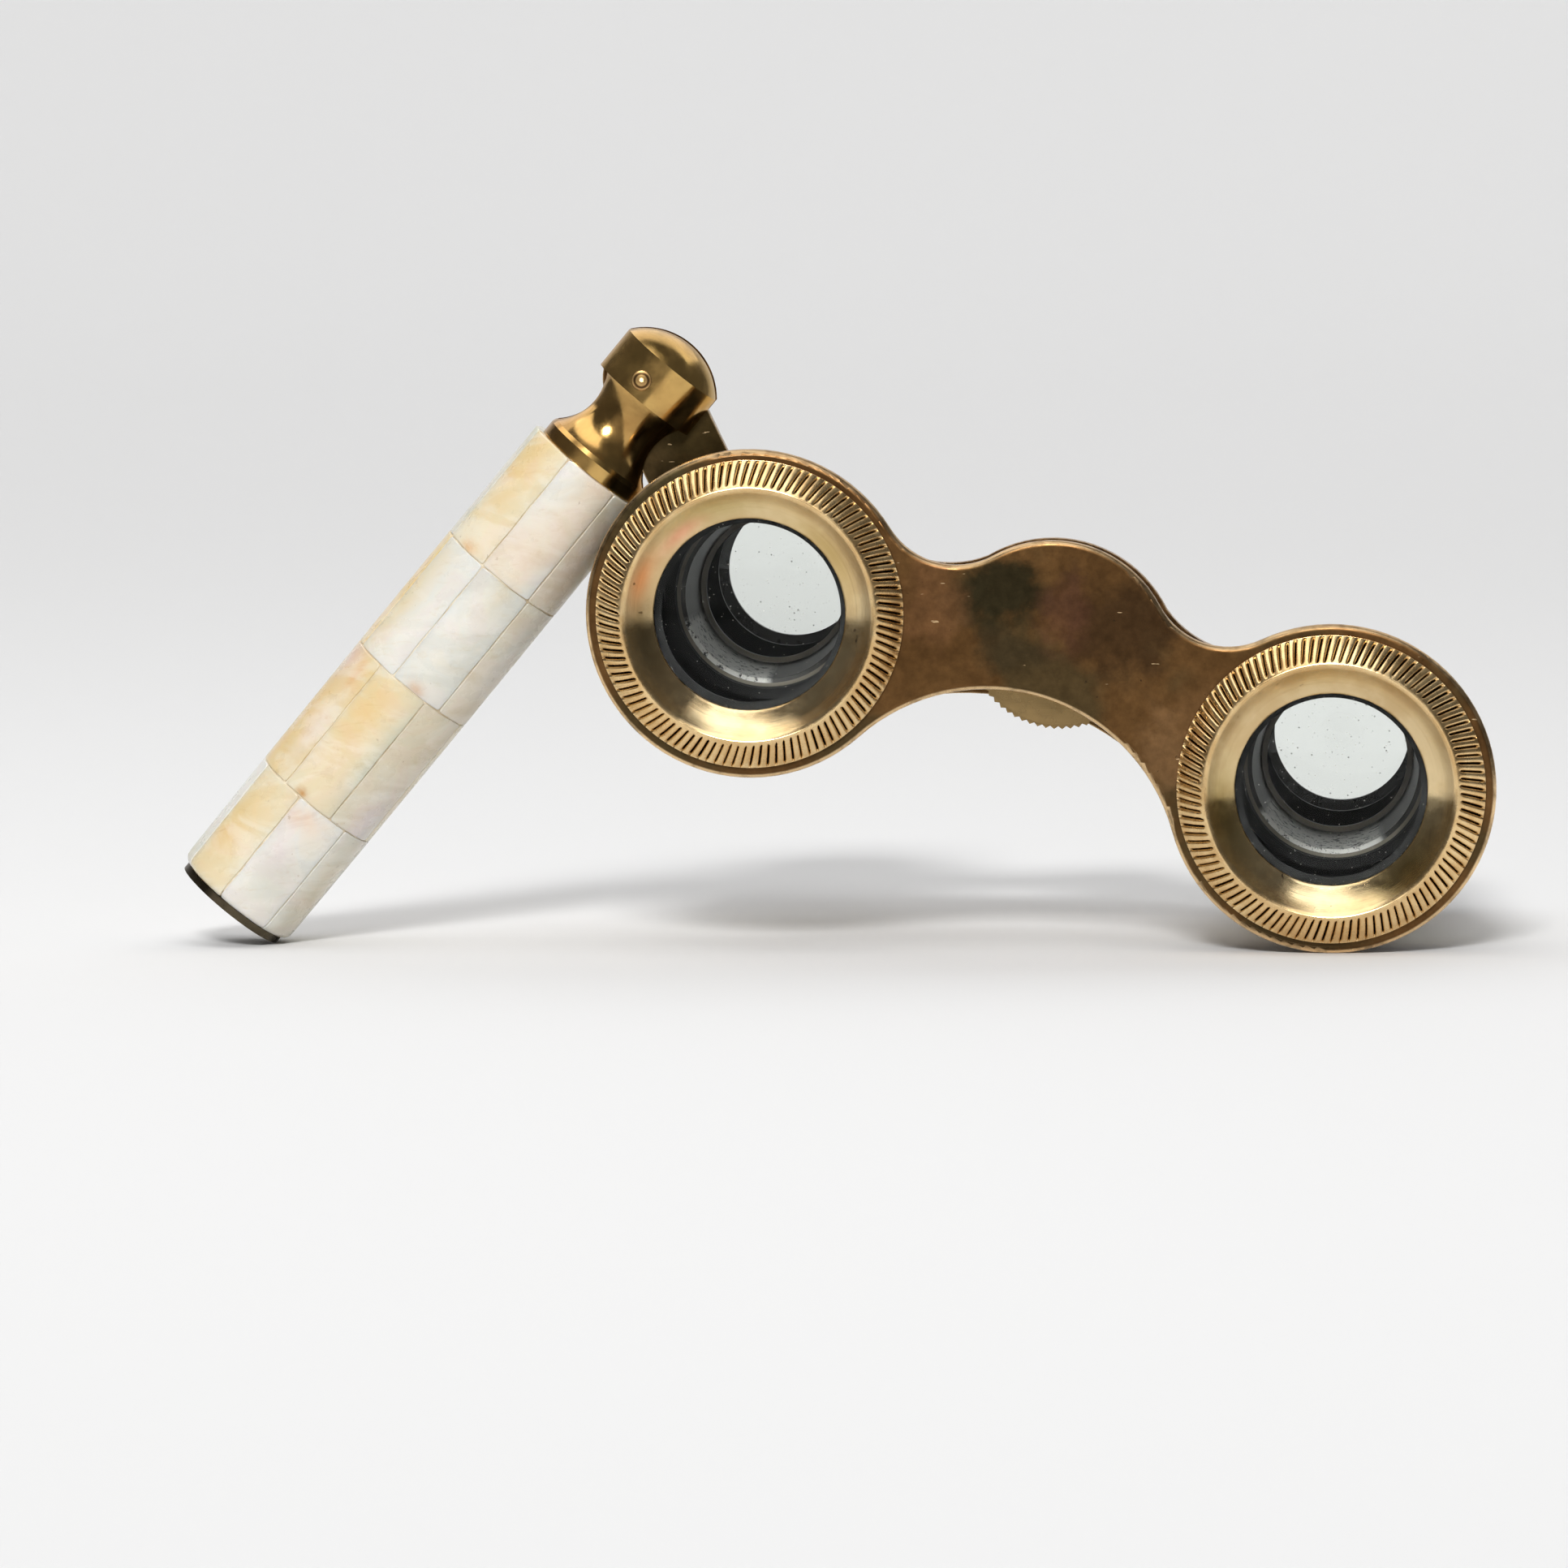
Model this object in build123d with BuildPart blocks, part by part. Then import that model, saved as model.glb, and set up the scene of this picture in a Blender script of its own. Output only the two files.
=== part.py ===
from build123d import *
from math import asin, atan2, cos, degrees, hypot, pi, radians, sin, sqrt
import os

# Opera glasses with a folding side handle, standing on the rim of the right-hand
# barrel and on the end of the opened handle.
#
# Frame: +Z up, the optical axes along Y with the objective end towards -Y. The origin
# is on the ground, under the middle of the space that the object takes up.
# Millimetres and degrees.

# --- Driving dimensions -------------------------------------------------------------
barrel_spacing = 62.6  # between the two optical axes, near the spacing of the eyes
spindle_rise = 6.8  # the spindle lies above the line that joins the optical axes
lean = 16.8  # the glasses lean this far over to the right-hand barrel
plate_thickness = 1.6
fit_gap = 0.01  # glued, soldered and screwed round joints
running_gap = 0.05  # round joints that turn or slide

# Depths are heights over the front face of the objective plate, towards the viewer.
handle_plate_front = -9.0
handle_plate_back = handle_plate_front - plate_thickness
rear_plate_front = -38.0
rear_plate_back = rear_plate_front - plate_thickness
bridge_front = -41.0
bridge_back = bridge_front - plate_thickness
draw_tube_front = -24.65
tube_end = bridge_back - 2.0  # the draw tubes reach into the eyecups
eyecup_back = bridge_back - 7.6

# Objective end
objective_disc_radius = 17.0
objective_hump_radius = 12.5
objective_hump_drop = 2.5  # the hump's centre lies below the spindle
arch_drop = 6.4  # the arch under the plate peaks this far below the spindle
bezel_radius = 15.9
bezel_rim_radius = 13.2
bezel_height = 3.0
bezel_teeth = 108
objective_opening = 9.9
objective_lens_radius = 11.4
lens_front = -0.26
lens_back = -3.26
lens_bulge = 0.53  # gives each face the curve of a lens of 120 mm focal length
sleeve_radius = 12.58
sleeve_depth = 6.0

# Barrels
barrel_front_radius = 13.6
bed_front_radius = 13.3
bed_rear_radius = 11.5
barrel_neck_radius = 10.6
barrel_tiles = 14
draw_tube_radius = 8.9
draw_tube_bore = 8.0
eye_opening = 4.55
eye_lens_radius = 6.6
eye_lens_thickness = 1.8
eye_pocket_depth = 2.6  # lens and its retaining ring
eyecup_radius = 11.8

# Focusing gear
wheel_radius = 9.6
wheel_teeth = 70
wheel_front = -2.6
wheel_back = -7.0
spindle_radius = 2.0
journal_radius = 1.45
nut_radius = 3.4
column_radius = 4.4
bush_bore = 3.0  # of the hole for the spindle's bush in the handle plate
stub_radius = 2.8  # of the nut's stub in the ocular bridge

# Folding handle
hinge_distance = 26.5  # from the left-hand optical axis to the hinge pin
hinge_angle = 47.8  # of that line, over the line that joins the optical axes
handle_angle = 50.4  # of the opened handle over the ground
pin_offset = 1.3  # the pin passes this far to the outer side of the handle's axis
pin_height = 11.0  # over the upper end of the pearl
pin_radius = 1.05
lug_width = 8.9
handle_radius = 7.1
tile_thickness = 1.4
tile_gap = 0.22
cement_depth = 0.15
cap_radius = 6.2
cap_thickness = 0.8
handle_tiles = 7
row_shares = (0.244, 0.253, 0.271, 0.232)  # heights of the pearl rows, from the hinge down
row_turns = (-16.0, -15.0, -30.0, -11.0)  # one seam of each row, from the front towards the glasses

# --- Planes -------------------------------------------------------------------------
half_spacing = barrel_spacing / 2
across = Vector(cos(radians(lean)), 0, -sin(radians(lean)))
upwards = Vector(sin(radians(lean)), 0, cos(radians(lean)))
up_handle = Vector(cos(radians(handle_angle)), 0, sin(radians(handle_angle)))
to_glasses = Vector(sin(radians(handle_angle)), 0, -cos(radians(handle_angle)))

# First the places that fix the frame, measured from the spindle's axis.
hinge_x = -half_spacing - hinge_distance * cos(radians(hinge_angle))
hinge_y = -spindle_rise + hinge_distance * sin(radians(hinge_angle))
right_centre = across * half_spacing - upwards * spindle_rise
ground = right_centre.Z - objective_disc_radius
grip_top = across * hinge_x + upwards * hinge_y + to_glasses * pin_offset - up_handle * pin_height

# The handle is just long enough for its end to stand level with the right-hand rim.
handle_reach = (grip_top.Z - ground - cap_radius * cos(radians(handle_angle))) / sin(radians(handle_angle))
pearl_length = handle_reach - cap_thickness
left_edge = (grip_top - up_handle * handle_reach).X - cap_radius * sin(radians(handle_angle))
right_edge = right_centre.X + objective_disc_radius
spindle_place = Vector(-(left_edge + right_edge) / 2, (bezel_height + eyecup_back) / 2, -ground)
glasses = Plane(spindle_place, x_dir=across, z_dir=(0, -1, 0))


def at(x, y, height=0.0):
    """Plane parallel to the plates, centred on a point given across and up the glasses."""
    return Plane(glasses.from_local_coords((x, y, height)), x_dir=across, z_dir=(0, -1, 0))


left = at(-half_spacing, -spindle_rise)
right = at(half_spacing, -spindle_rise)
sides = {"left": left, "right": right}

# The handle's plane lies across its axis at the upper end of the pearl. Its normal runs
# up the handle to the hinge and its x direction points to the glasses.
lug_middle = handle_plate_front - plate_thickness / 2
hinge_point = at(hinge_x, hinge_y, lug_middle).origin
handle = Plane(hinge_point + to_glasses * pin_offset - up_handle * pin_height, x_dir=to_glasses, z_dir=up_handle)


def radial_plane(base, turn=0.0):
    """Plane through the axis of base: its x runs outwards and its y along the axis."""
    outwards = base.x_dir * cos(radians(turn)) + base.y_dir * sin(radians(turn))
    return Plane(base.origin, x_dir=outwards, z_dir=outwards.cross(base.z_dir))


def axis_of(base):
    return Axis(base.origin, base.z_dir)


def turned(base, outline):
    """A piece turned about the axis of base from a closed (radius, height) outline."""
    with BuildPart() as piece:
        with BuildSketch(radial_plane(base)):
            with BuildLine():
                Polyline(*outline, close=True)
            make_face()
        revolve(axis=axis_of(base))
    return piece


def cap_height(radius, bulge, at_radius):
    """Height of a spherical cap over its rim, part of the way in; a negative bulge is a hollow."""
    ball = (radius**2 + bulge**2) / (2 * abs(bulge))
    height = abs(bulge) - (ball - sqrt(ball**2 - at_radius**2))
    return height if bulge > 0 else -height


def ring(base, outer, inner, top, bottom):
    return turned(base, [(inner, bottom), (outer, bottom), (outer, top), (inner, top)])


def save(piece, name):
    piece.part.label = name
    export_step(piece.part, f"parts/{name}.step")


def towards(start, end, distance):
    """The point at a distance from start on the line to end."""
    whole = hypot(end[0] - start[0], end[1] - start[1])
    share = distance / whole
    return (start[0] + (end[0] - start[0]) * share, start[1] + (end[1] - start[1]) * share)


def blend_between(first, first_radius, second, second_radius, radius):
    """Start, middle and end of an arc laid over two circles, touching both from above."""
    reach = first_radius + radius
    span = hypot(second[0] - first[0], second[1] - first[1])
    along = (span**2 + reach**2 - (second_radius + radius) ** 2) / (2 * span)
    rise = sqrt(reach**2 - along**2)
    slope = atan2(second[1] - first[1], second[0] - first[0])
    centre = (
        first[0] + along * cos(slope) - rise * sin(slope),
        first[1] + along * sin(slope) + rise * cos(slope),
    )
    start = towards(first, centre, first_radius)
    end = towards(second, centre, second_radius)
    chord_middle = ((start[0] + end[0]) / 2, (start[1] + end[1]) / 2)
    return start, towards(centre, chord_middle, radius), end


def arch_arc(disc, disc_radius, peak):
    """Middle and end of the right half of the arch that touches the disc and peaks at x = 0."""
    fall = disc[1] - peak
    radius = (disc[0] ** 2 + fall**2 - disc_radius**2) / (2 * (disc_radius - fall))
    centre = (0, peak - radius)
    end = towards(centre, disc, radius)
    half_turn = asin(end[0] / radius) / 2
    middle = (radius * sin(half_turn), centre[1] + radius * cos(half_turn))
    return middle, end


def bridge_outline(disc_radius, hump_radius, hump_drop, peak, blend_radius):
    """Flat outline of a plate that joins both barrels over a round hump."""
    disc = (half_spacing, -spindle_rise)
    hump = (0, -hump_drop)
    hump_top = (0, hump_radius - hump_drop)
    arch_middle, arch_end = arch_arc(disc, disc_radius, -peak)
    leave_hump, blend_middle, meet_disc = blend_between(hump, hump_radius, disc, disc_radius, blend_radius)
    hump_middle = towards(hump, ((hump_top[0] + leave_hump[0]) / 2, (hump_top[1] + leave_hump[1]) / 2), hump_radius)
    with BuildSketch() as outline:
        with BuildLine():
            ThreePointArc((0, -peak), arch_middle, arch_end)
            ThreePointArc(arch_end, (half_spacing + disc_radius, -spindle_rise), meet_disc)
            ThreePointArc(meet_disc, blend_middle, leave_hump)
            ThreePointArc(leave_hump, hump_middle, hump_top)
            mirror(about=Plane.YZ)
        make_face()
    return outline.sketch


def bridge_plate(front, bore, centre_bore, outline, edge_round):
    """A flat plate with two barrel bores and an optional centre bore; its outer edges are rounded."""
    with BuildPart() as plate:
        with BuildSketch(at(0, 0, front)):
            add(outline)
            with Locations((-half_spacing, -spindle_rise), (half_spacing, -spindle_rise)):
                Circle(bore, mode=Mode.SUBTRACT)
            if centre_bore:
                Circle(centre_bore, mode=Mode.SUBTRACT)
        extrude(amount=-plate_thickness)
        rims = [edge for edge in plate.edges().filter_by(GeomType.CIRCLE) if not edge.is_closed]
        fillet(rims, edge_round)
    return plate


def toothed(radius, depth, count, turn=0.0):
    """Flat outline of a knurled rim."""
    step = pi / count
    points = []
    for index in range(2 * count):
        reach = radius - depth * (index % 2)
        angle = index * step + radians(turn)
        points.append((reach * cos(angle), reach * sin(angle)))
    with BuildSketch() as outline:
        with BuildLine():
            Polyline(*points, close=True)
        make_face()
    return outline.sketch


# --- Plates that hold the barrels ---------------------------------------------------
def objective_plate():
    boss_height = 0.8
    boss_radius = 3.4
    wall_before_spindle = 0.7
    outline = bridge_outline(
        disc_radius=objective_disc_radius,
        hump_radius=objective_hump_radius,
        hump_drop=objective_hump_drop,
        peak=arch_drop,
        blend_radius=8.0,
    )
    blank = bridge_plate(0, sleeve_radius + fit_gap, None, outline, 0.62)
    with BuildPart() as plate:
        add(blank.part)
        with BuildSketch(at(0, 0, -plate_thickness)):
            Circle(boss_radius)
        extrude(amount=-boss_height)
        with BuildSketch(at(0, 0, -wall_before_spindle)):
            Circle(journal_radius + running_gap)
        extrude(amount=-plate_thickness - boss_height, mode=Mode.SUBTRACT)
    return plate


def handle_plate():
    """The second plate, with the cusped hump and the lug that carries the handle."""
    disc_radius = 14.9
    hump_radius = 13.2
    hump = (0, 3.25 - spindle_rise)
    peak = -1.0 - spindle_rise
    cusp_x = 9.7
    cusp = (cusp_x, hump[1] + sqrt(hump_radius**2 - cusp_x**2))
    meet_x = 24.0
    disc = (half_spacing, -spindle_rise)
    meet = (meet_x, disc[1] + sqrt(disc_radius**2 - (meet_x - disc[0]) ** 2))
    valley = ((cusp_x + meet_x) / 2, 9.9 - spindle_rise)
    arch_middle, arch_end = arch_arc(disc, disc_radius, peak)
    half_way = asin(cusp_x / hump_radius) / 2
    hump_middle = (hump_radius * sin(half_way), hump[1] + hump_radius * cos(half_way))
    with BuildPart() as plate:
        with BuildSketch(at(0, 0, handle_plate_front)):
            with BuildLine():
                ThreePointArc((0, peak), arch_middle, arch_end)
                ThreePointArc(arch_end, (half_spacing + disc_radius, -spindle_rise), meet)
                ThreePointArc(meet, valley, cusp)
                ThreePointArc(cusp, hump_middle, (0, hump[1] + hump_radius))
                mirror(about=Plane.YZ)
            make_face()
            with Locations(((hinge_x - half_spacing) / 2, (hinge_y - spindle_rise) / 2)):
                SlotCenterToCenter(hinge_distance, lug_width, rotation=180 - hinge_angle)
            with Locations((-half_spacing, -spindle_rise), (half_spacing, -spindle_rise)):
                Circle(barrel_front_radius + fit_gap, mode=Mode.SUBTRACT)
            Circle(bush_bore + fit_gap, mode=Mode.SUBTRACT)
            with Locations((hinge_x, hinge_y)):
                Circle(pin_radius + running_gap, mode=Mode.SUBTRACT)
        extrude(amount=-plate_thickness)
    return plate


def eyepiece_plate():
    outline = bridge_outline(disc_radius=13.2, hump_radius=7.2, hump_drop=0.6, peak=9.2, blend_radius=9.0)
    return bridge_plate(rear_plate_front, barrel_neck_radius + fit_gap, column_radius + fit_gap, outline, 0.4)


def ocular_bridge():
    outline = bridge_outline(disc_radius=12.6, hump_radius=6.4, hump_drop=0.6, peak=8.6, blend_radius=9.0)
    return bridge_plate(bridge_front, draw_tube_radius + fit_gap, stub_radius + fit_gap, outline, 0.4)


# --- Objective end of one barrel ----------------------------------------------------
def bezel(base):
    """Screwed ring with a sloping knurled edge and a polished dish round the opening."""
    tooth_depth = 0.34
    rim_tooth_depth = 0.22
    skew = 2.7
    dish_foot = 0.6
    foot_height = 0.35
    front = Plane(base.origin + base.z_dir * bezel_height, x_dir=base.x_dir, z_dir=base.z_dir)
    foot = Plane(base.origin + base.z_dir * foot_height, x_dir=base.x_dir, z_dir=base.z_dir)
    knurl_foot = toothed(bezel_radius, tooth_depth, bezel_teeth)
    knurl_rim = toothed(bezel_rim_radius + rim_tooth_depth, rim_tooth_depth, bezel_teeth, skew)
    with BuildPart() as piece:
        with BuildSketch(base):
            Circle(bezel_radius - tooth_depth)
        extrude(amount=foot_height)
        with BuildSketch(foot):
            add(knurl_foot)
        with BuildSketch(front):
            add(knurl_rim)
        loft(ruled=True)
        with BuildSketch(base):
            Circle(sleeve_radius)
        extrude(amount=-sleeve_depth)
        with BuildSketch(radial_plane(base)):
            with BuildLine():
                Polyline(
                    (0, bezel_height + 1),
                    (bezel_rim_radius - 0.35, bezel_height + 1),
                    (bezel_rim_radius - 0.35, bezel_height),
                    (objective_opening, dish_foot),
                    (objective_opening, 0),
                    (objective_lens_radius + fit_gap, 0),
                    (objective_lens_radius + fit_gap, -sleeve_depth - 1),
                    (0, -sleeve_depth - 1),
                    close=True,
                )
            make_face()
        revolve(axis=axis_of(base), mode=Mode.SUBTRACT)
    return piece


def lens(base, radius, front, back, front_bulge, back_bulge):
    """A lens with spherical faces; a negative bulge hollows the face."""
    half = radius / 2
    front_half = front + cap_height(radius, front_bulge, half)
    back_half = back - cap_height(radius, back_bulge, half)
    with BuildPart() as piece:
        with BuildSketch(radial_plane(base)):
            with BuildLine():
                Line((0, back - back_bulge), (0, front + front_bulge))
                ThreePointArc((0, front + front_bulge), (half, front_half), (radius, front))
                Line((radius, front), (radius, back))
                ThreePointArc((radius, back), (half, back_half), (0, back - back_bulge))
            make_face()
        revolve(axis=axis_of(base))
    return piece


def barrel(base):
    cavity_front = 12.2
    cavity_rear = 11.0
    guide_front = -30.0
    guide_bore = draw_tube_radius + running_gap
    return turned(
        base,
        [
            (sleeve_radius + fit_gap, -plate_thickness),
            (barrel_front_radius, -plate_thickness),
            (barrel_front_radius, handle_plate_back),
            (bed_front_radius, handle_plate_back),
            (bed_rear_radius, rear_plate_front),
            (barrel_neck_radius, rear_plate_front),
            (barrel_neck_radius, rear_plate_back),
            (guide_bore, rear_plate_back),
            (guide_bore, guide_front),
            (cavity_rear, guide_front),
            (cavity_front, -sleeve_depth - 0.5),
            (sleeve_radius + fit_gap, -sleeve_depth - 0.5),
        ],
    )


# --- Mother-of-pearl tiles and the cement between them -------------------------------
def tile_row(base, outline, count, seam, gap_angle):
    """One ring of separate tiles cut from a closed (radius, height) outline."""
    step = 360 / count
    with BuildPart() as row:
        for index in range(count):
            turn = seam + index * step + gap_angle / 2
            with BuildSketch(radial_plane(base, turn)):
                with BuildLine():
                    Polyline(*outline, close=True)
                make_face()
            revolve(axis=axis_of(base), revolution_arc=step - gap_angle)
    return row


def cement_bed(base, outline, rows):
    """The layer of cement under and between the tiles."""
    blank = turned(base, outline)
    with BuildPart() as bed:
        add(blank.part)
        for row in rows:
            add(row.part, mode=Mode.SUBTRACT)
    return bed


def barrel_pearl(base):
    """Two rows of tiles on the cone of a barrel, and their cement."""
    length = handle_plate_back - rear_plate_front
    glue = 0.3

    def bed_radius(height):
        share = (handle_plate_back - height) / length
        return bed_front_radius + (bed_rear_radius - bed_front_radius) * share

    top = handle_plate_back - fit_gap
    bottom = rear_plate_front + fit_gap
    middle = (top + bottom) / 2
    gap_angle = degrees(tile_gap / (bed_front_radius + tile_thickness))
    rows = []
    for number, (high, low) in enumerate([(top, middle + tile_gap / 2), (middle - tile_gap / 2, bottom)]):
        outline = [
            (bed_radius(high) + glue, high),
            (bed_radius(high) + tile_thickness, high),
            (bed_radius(low) + tile_thickness, low),
            (bed_radius(low) + glue, low),
        ]
        rows.append(tile_row(base, outline, barrel_tiles, number * 180 / barrel_tiles, gap_angle))
    shell = tile_thickness - cement_depth
    layer = [
        (bed_radius(top) + fit_gap, top),
        (bed_radius(top) + shell, top),
        (bed_radius(bottom) + shell, bottom),
        (bed_radius(bottom) + fit_gap, bottom),
    ]
    return rows, cement_bed(base, layer, rows)


# --- Eyepiece end of one barrel -----------------------------------------------------
def draw_tube(base):
    return ring(base, draw_tube_radius, draw_tube_bore, draw_tube_front, tube_end)


def light_stop(base):
    """A funnel in the front of the draw tube that ends in a thin lip."""
    mouth = 7.15
    throat = 6.0
    lip = 5.55
    lip_front = draw_tube_front - 7.55
    lip_thickness = 0.6
    outer = draw_tube_bore - fit_gap
    return turned(
        base,
        [
            (mouth, draw_tube_front),
            (outer, draw_tube_front),
            (outer, lip_front - lip_thickness),
            (lip, lip_front - lip_thickness),
            (lip, lip_front),
            (throat, lip_front),
        ],
    )


def eyecup(base):
    """Black cup round the eye lens, with a hollowed side and a rounded lip."""
    seat = draw_tube_radius + fit_gap
    pocket_back = tube_end - eye_pocket_depth
    foot_radius = eyecup_radius - 1.1
    foot_height = 1.2
    waist = (eyecup_radius - 1.5, bridge_back - 3.2)
    bowl_radius = eyecup_radius - 1.3
    bowl = (7.9, eyecup_back + 1.9)
    bowl_foot = (eye_opening, pocket_back - 0.6)
    lip_radius = 1.0
    lip_corner = lip_radius * (1 - sqrt(0.5))
    with BuildPart() as piece:
        with BuildSketch(radial_plane(base)):
            with BuildLine():
                Polyline(
                    (seat, bridge_back),
                    (foot_radius, bridge_back),
                    (foot_radius, bridge_back - foot_height),
                )
                ThreePointArc(
                    (foot_radius, bridge_back - foot_height),
                    waist,
                    (eyecup_radius, eyecup_back + lip_radius),
                )
                ThreePointArc(
                    (eyecup_radius, eyecup_back + lip_radius),
                    (eyecup_radius - lip_corner, eyecup_back + lip_corner),
                    (eyecup_radius - lip_radius, eyecup_back),
                )
                Line((eyecup_radius - lip_radius, eyecup_back), (bowl_radius, eyecup_back))
                ThreePointArc((bowl_radius, eyecup_back), bowl, bowl_foot)
                Polyline(
                    bowl_foot,
                    (eye_opening, pocket_back),
                    (eye_lens_radius + fit_gap, pocket_back),
                    (eye_lens_radius + fit_gap, tube_end),
                    (seat, tube_end),
                    (seat, bridge_back),
                )
            make_face()
        revolve(axis=axis_of(base))
    return piece


# --- Focusing gear ------------------------------------------------------------------
hub_front = -2.45
hub_back = -8.6
hub_radius = 3.4
cross_pin_height = -7.8
cross_pin_radius = 0.5
centre = at(0, 0)


def cross_pin_plane():
    return Plane(glasses.from_local_coords((0, 0, cross_pin_height)), x_dir=(0, 1, 0), z_dir=across)


def focus_wheel():
    tooth_depth = 0.3
    face_chamfer = 0.35
    face_radius = wheel_radius - tooth_depth - 0.15
    knurl = toothed(wheel_radius, tooth_depth, wheel_teeth)
    with BuildPart() as wheel:
        with BuildSketch(at(0, 0, wheel_front - face_chamfer)):
            add(knurl)
        extrude(amount=wheel_back - wheel_front + 2 * face_chamfer)
        with BuildSketch(at(0, 0, wheel_front)):
            Circle(face_radius)
        extrude(amount=wheel_back - wheel_front)
        with BuildSketch(at(0, 0, hub_front)):
            Circle(hub_radius)
        extrude(amount=hub_back - hub_front)
        with BuildSketch(at(0, 0, hub_front)):
            Circle(spindle_radius + fit_gap)
        extrude(amount=hub_back - hub_front, mode=Mode.SUBTRACT)
        with BuildSketch(cross_pin_plane()):
            Circle(cross_pin_radius + fit_gap)
        extrude(amount=hub_radius + 1, both=True, mode=Mode.SUBTRACT)
    return wheel


def spindle():
    """Journal, plain shank and the fast screw that drives the eyepieces."""
    journal_end = -0.8
    screw_start = -24.0
    spindle_end = -40.0
    thread_depth = 0.25
    groove_pitch = 1.0
    body = [(0, journal_end), (journal_radius, journal_end), (journal_radius, hub_front), (spindle_radius, hub_front)]
    height = screw_start
    while height > spindle_end + groove_pitch:
        body.append((spindle_radius, height))
        body.append((spindle_radius - thread_depth, height - groove_pitch / 2))
        height -= groove_pitch
    body += [(spindle_radius, height), (spindle_radius, spindle_end), (0, spindle_end)]
    blank = turned(centre, body)
    with BuildPart() as piece:
        add(blank.part)
        with BuildSketch(cross_pin_plane()):
            Circle(cross_pin_radius + fit_gap)
        extrude(amount=hub_radius, both=True, mode=Mode.SUBTRACT)
    return piece


def wheel_pin():
    with BuildPart() as piece:
        with BuildSketch(cross_pin_plane()):
            Circle(cross_pin_radius)
        extrude(amount=hub_radius - 0.1, both=True)
    return piece


def spindle_bush():
    flange = 0.35
    return turned(
        centre,
        [
            (spindle_radius + running_gap, handle_plate_front + flange),
            (hub_radius, handle_plate_front + flange),
            (hub_radius, handle_plate_front),
            (bush_bore, handle_plate_front),
            (bush_bore, handle_plate_back),
            (spindle_radius + running_gap, handle_plate_back),
        ],
    )


def focus_nut():
    """The tube that the spindle drives, closed behind by the bridge's centre screw."""
    nut_front = -22.0
    well_end = -40.9
    screw_hole = 0.9
    bore = spindle_radius + running_gap
    return turned(
        centre,
        [
            (bore, nut_front),
            (nut_radius, nut_front),
            (nut_radius, bridge_front),
            (stub_radius, bridge_front),
            (stub_radius, bridge_back),
            (screw_hole + fit_gap, bridge_back),
            (screw_hole + fit_gap, well_end),
            (bore, well_end),
        ],
    )


def slotted_screw(base, head_radius, head_height, shank_radius, shank_length):
    """A domed screw whose head stands out behind the plane of base."""
    edge_height = head_height * 0.45
    half = head_radius / 2
    half_height = edge_height + cap_height(head_radius, head_height - edge_height, half)
    with BuildPart() as screw:
        with BuildSketch(radial_plane(base)):
            with BuildLine():
                Polyline(
                    (0, shank_length),
                    (shank_radius, shank_length),
                    (shank_radius, 0),
                    (head_radius, 0),
                    (head_radius, -edge_height),
                )
                ThreePointArc((head_radius, -edge_height), (half, -half_height), (0, -head_height))
                Line((0, -head_height), (0, shank_length))
            make_face()
        revolve(axis=axis_of(base))
        with BuildSketch(Plane(base.origin - base.z_dir * head_height, x_dir=base.x_dir, z_dir=base.z_dir)):
            Rectangle(head_radius * 2.4, head_radius * 0.24)
        extrude(amount=head_height * 0.45, mode=Mode.SUBTRACT)
    return screw


# --- Folding handle -----------------------------------------------------------------
core_radius = 5.6
spigot_radius = 4.4
spigot_length = 8.0
slot_bottom = 1.8
slot_half = 1.1
washer_thickness = 0.25


def pin_plane(depth):
    """Plane across the hinge pin, at a distance behind the middle of the lug."""
    return Plane(hinge_point + Vector(0, depth, 0), x_dir=to_glasses, z_dir=(0, 1, 0))


def hinge_head():
    """Turned fork: spigot, collar, hollow waist, drum and shallow dome, slotted for the lug."""
    collar_radius = 6.0
    collar_height = 1.4
    waist_foot = (5.8, 1.9)
    waist = (4.05, 5.7)
    waist_top_radius = 5.1
    drum_radius = 5.9
    drum_bottom = 9.2
    drum_top = 13.9
    dome_top = 16.75
    dome_middle = drum_top + cap_height(drum_radius, dome_top - drum_top, drum_radius / 2)
    with BuildPart() as head:
        with BuildSketch(radial_plane(handle)):
            with BuildLine():
                Polyline(
                    (0, -spigot_length),
                    (spigot_radius, -spigot_length),
                    (spigot_radius, 0),
                    (collar_radius, 0),
                    (collar_radius, collar_height),
                    waist_foot,
                )
                ThreePointArc(waist_foot, waist, (waist_top_radius, drum_bottom))
                Polyline((waist_top_radius, drum_bottom), (drum_radius, drum_bottom), (drum_radius, drum_top))
                ThreePointArc((drum_radius, drum_top), (drum_radius / 2, dome_middle), (0, dome_top))
                Line((0, dome_top), (0, -spigot_length))
            make_face()
        revolve(axis=axis_of(handle))
        with BuildSketch(radial_plane(handle)):
            with Locations((0, (slot_bottom + dome_top + 1) / 2)):
                Rectangle(4 * drum_radius, dome_top + 1 - slot_bottom)
        extrude(amount=slot_half, both=True, mode=Mode.SUBTRACT)
        with BuildSketch(pin_plane(0)):
            Circle(pin_radius + fit_gap)
        extrude(amount=2 * drum_radius, both=True, mode=Mode.SUBTRACT)
    return head


def hinge_pin():
    half_length = 5.8
    dome = 0.15
    half = pin_radius / 2
    half_dome = half_length + cap_height(pin_radius, dome, half)
    end = half_length + dome
    pin_base = pin_plane(0)
    with BuildPart() as pin:
        with BuildSketch(radial_plane(pin_base)):
            with BuildLine():
                ThreePointArc((0, end), (half, half_dome), (pin_radius, half_length))
                Line((pin_radius, half_length), (pin_radius, -half_length))
                ThreePointArc((pin_radius, -half_length), (half, -half_dome), (0, -end))
                Line((0, -end), (0, end))
            make_face()
        revolve(axis=axis_of(pin_base))
    return pin


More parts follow.
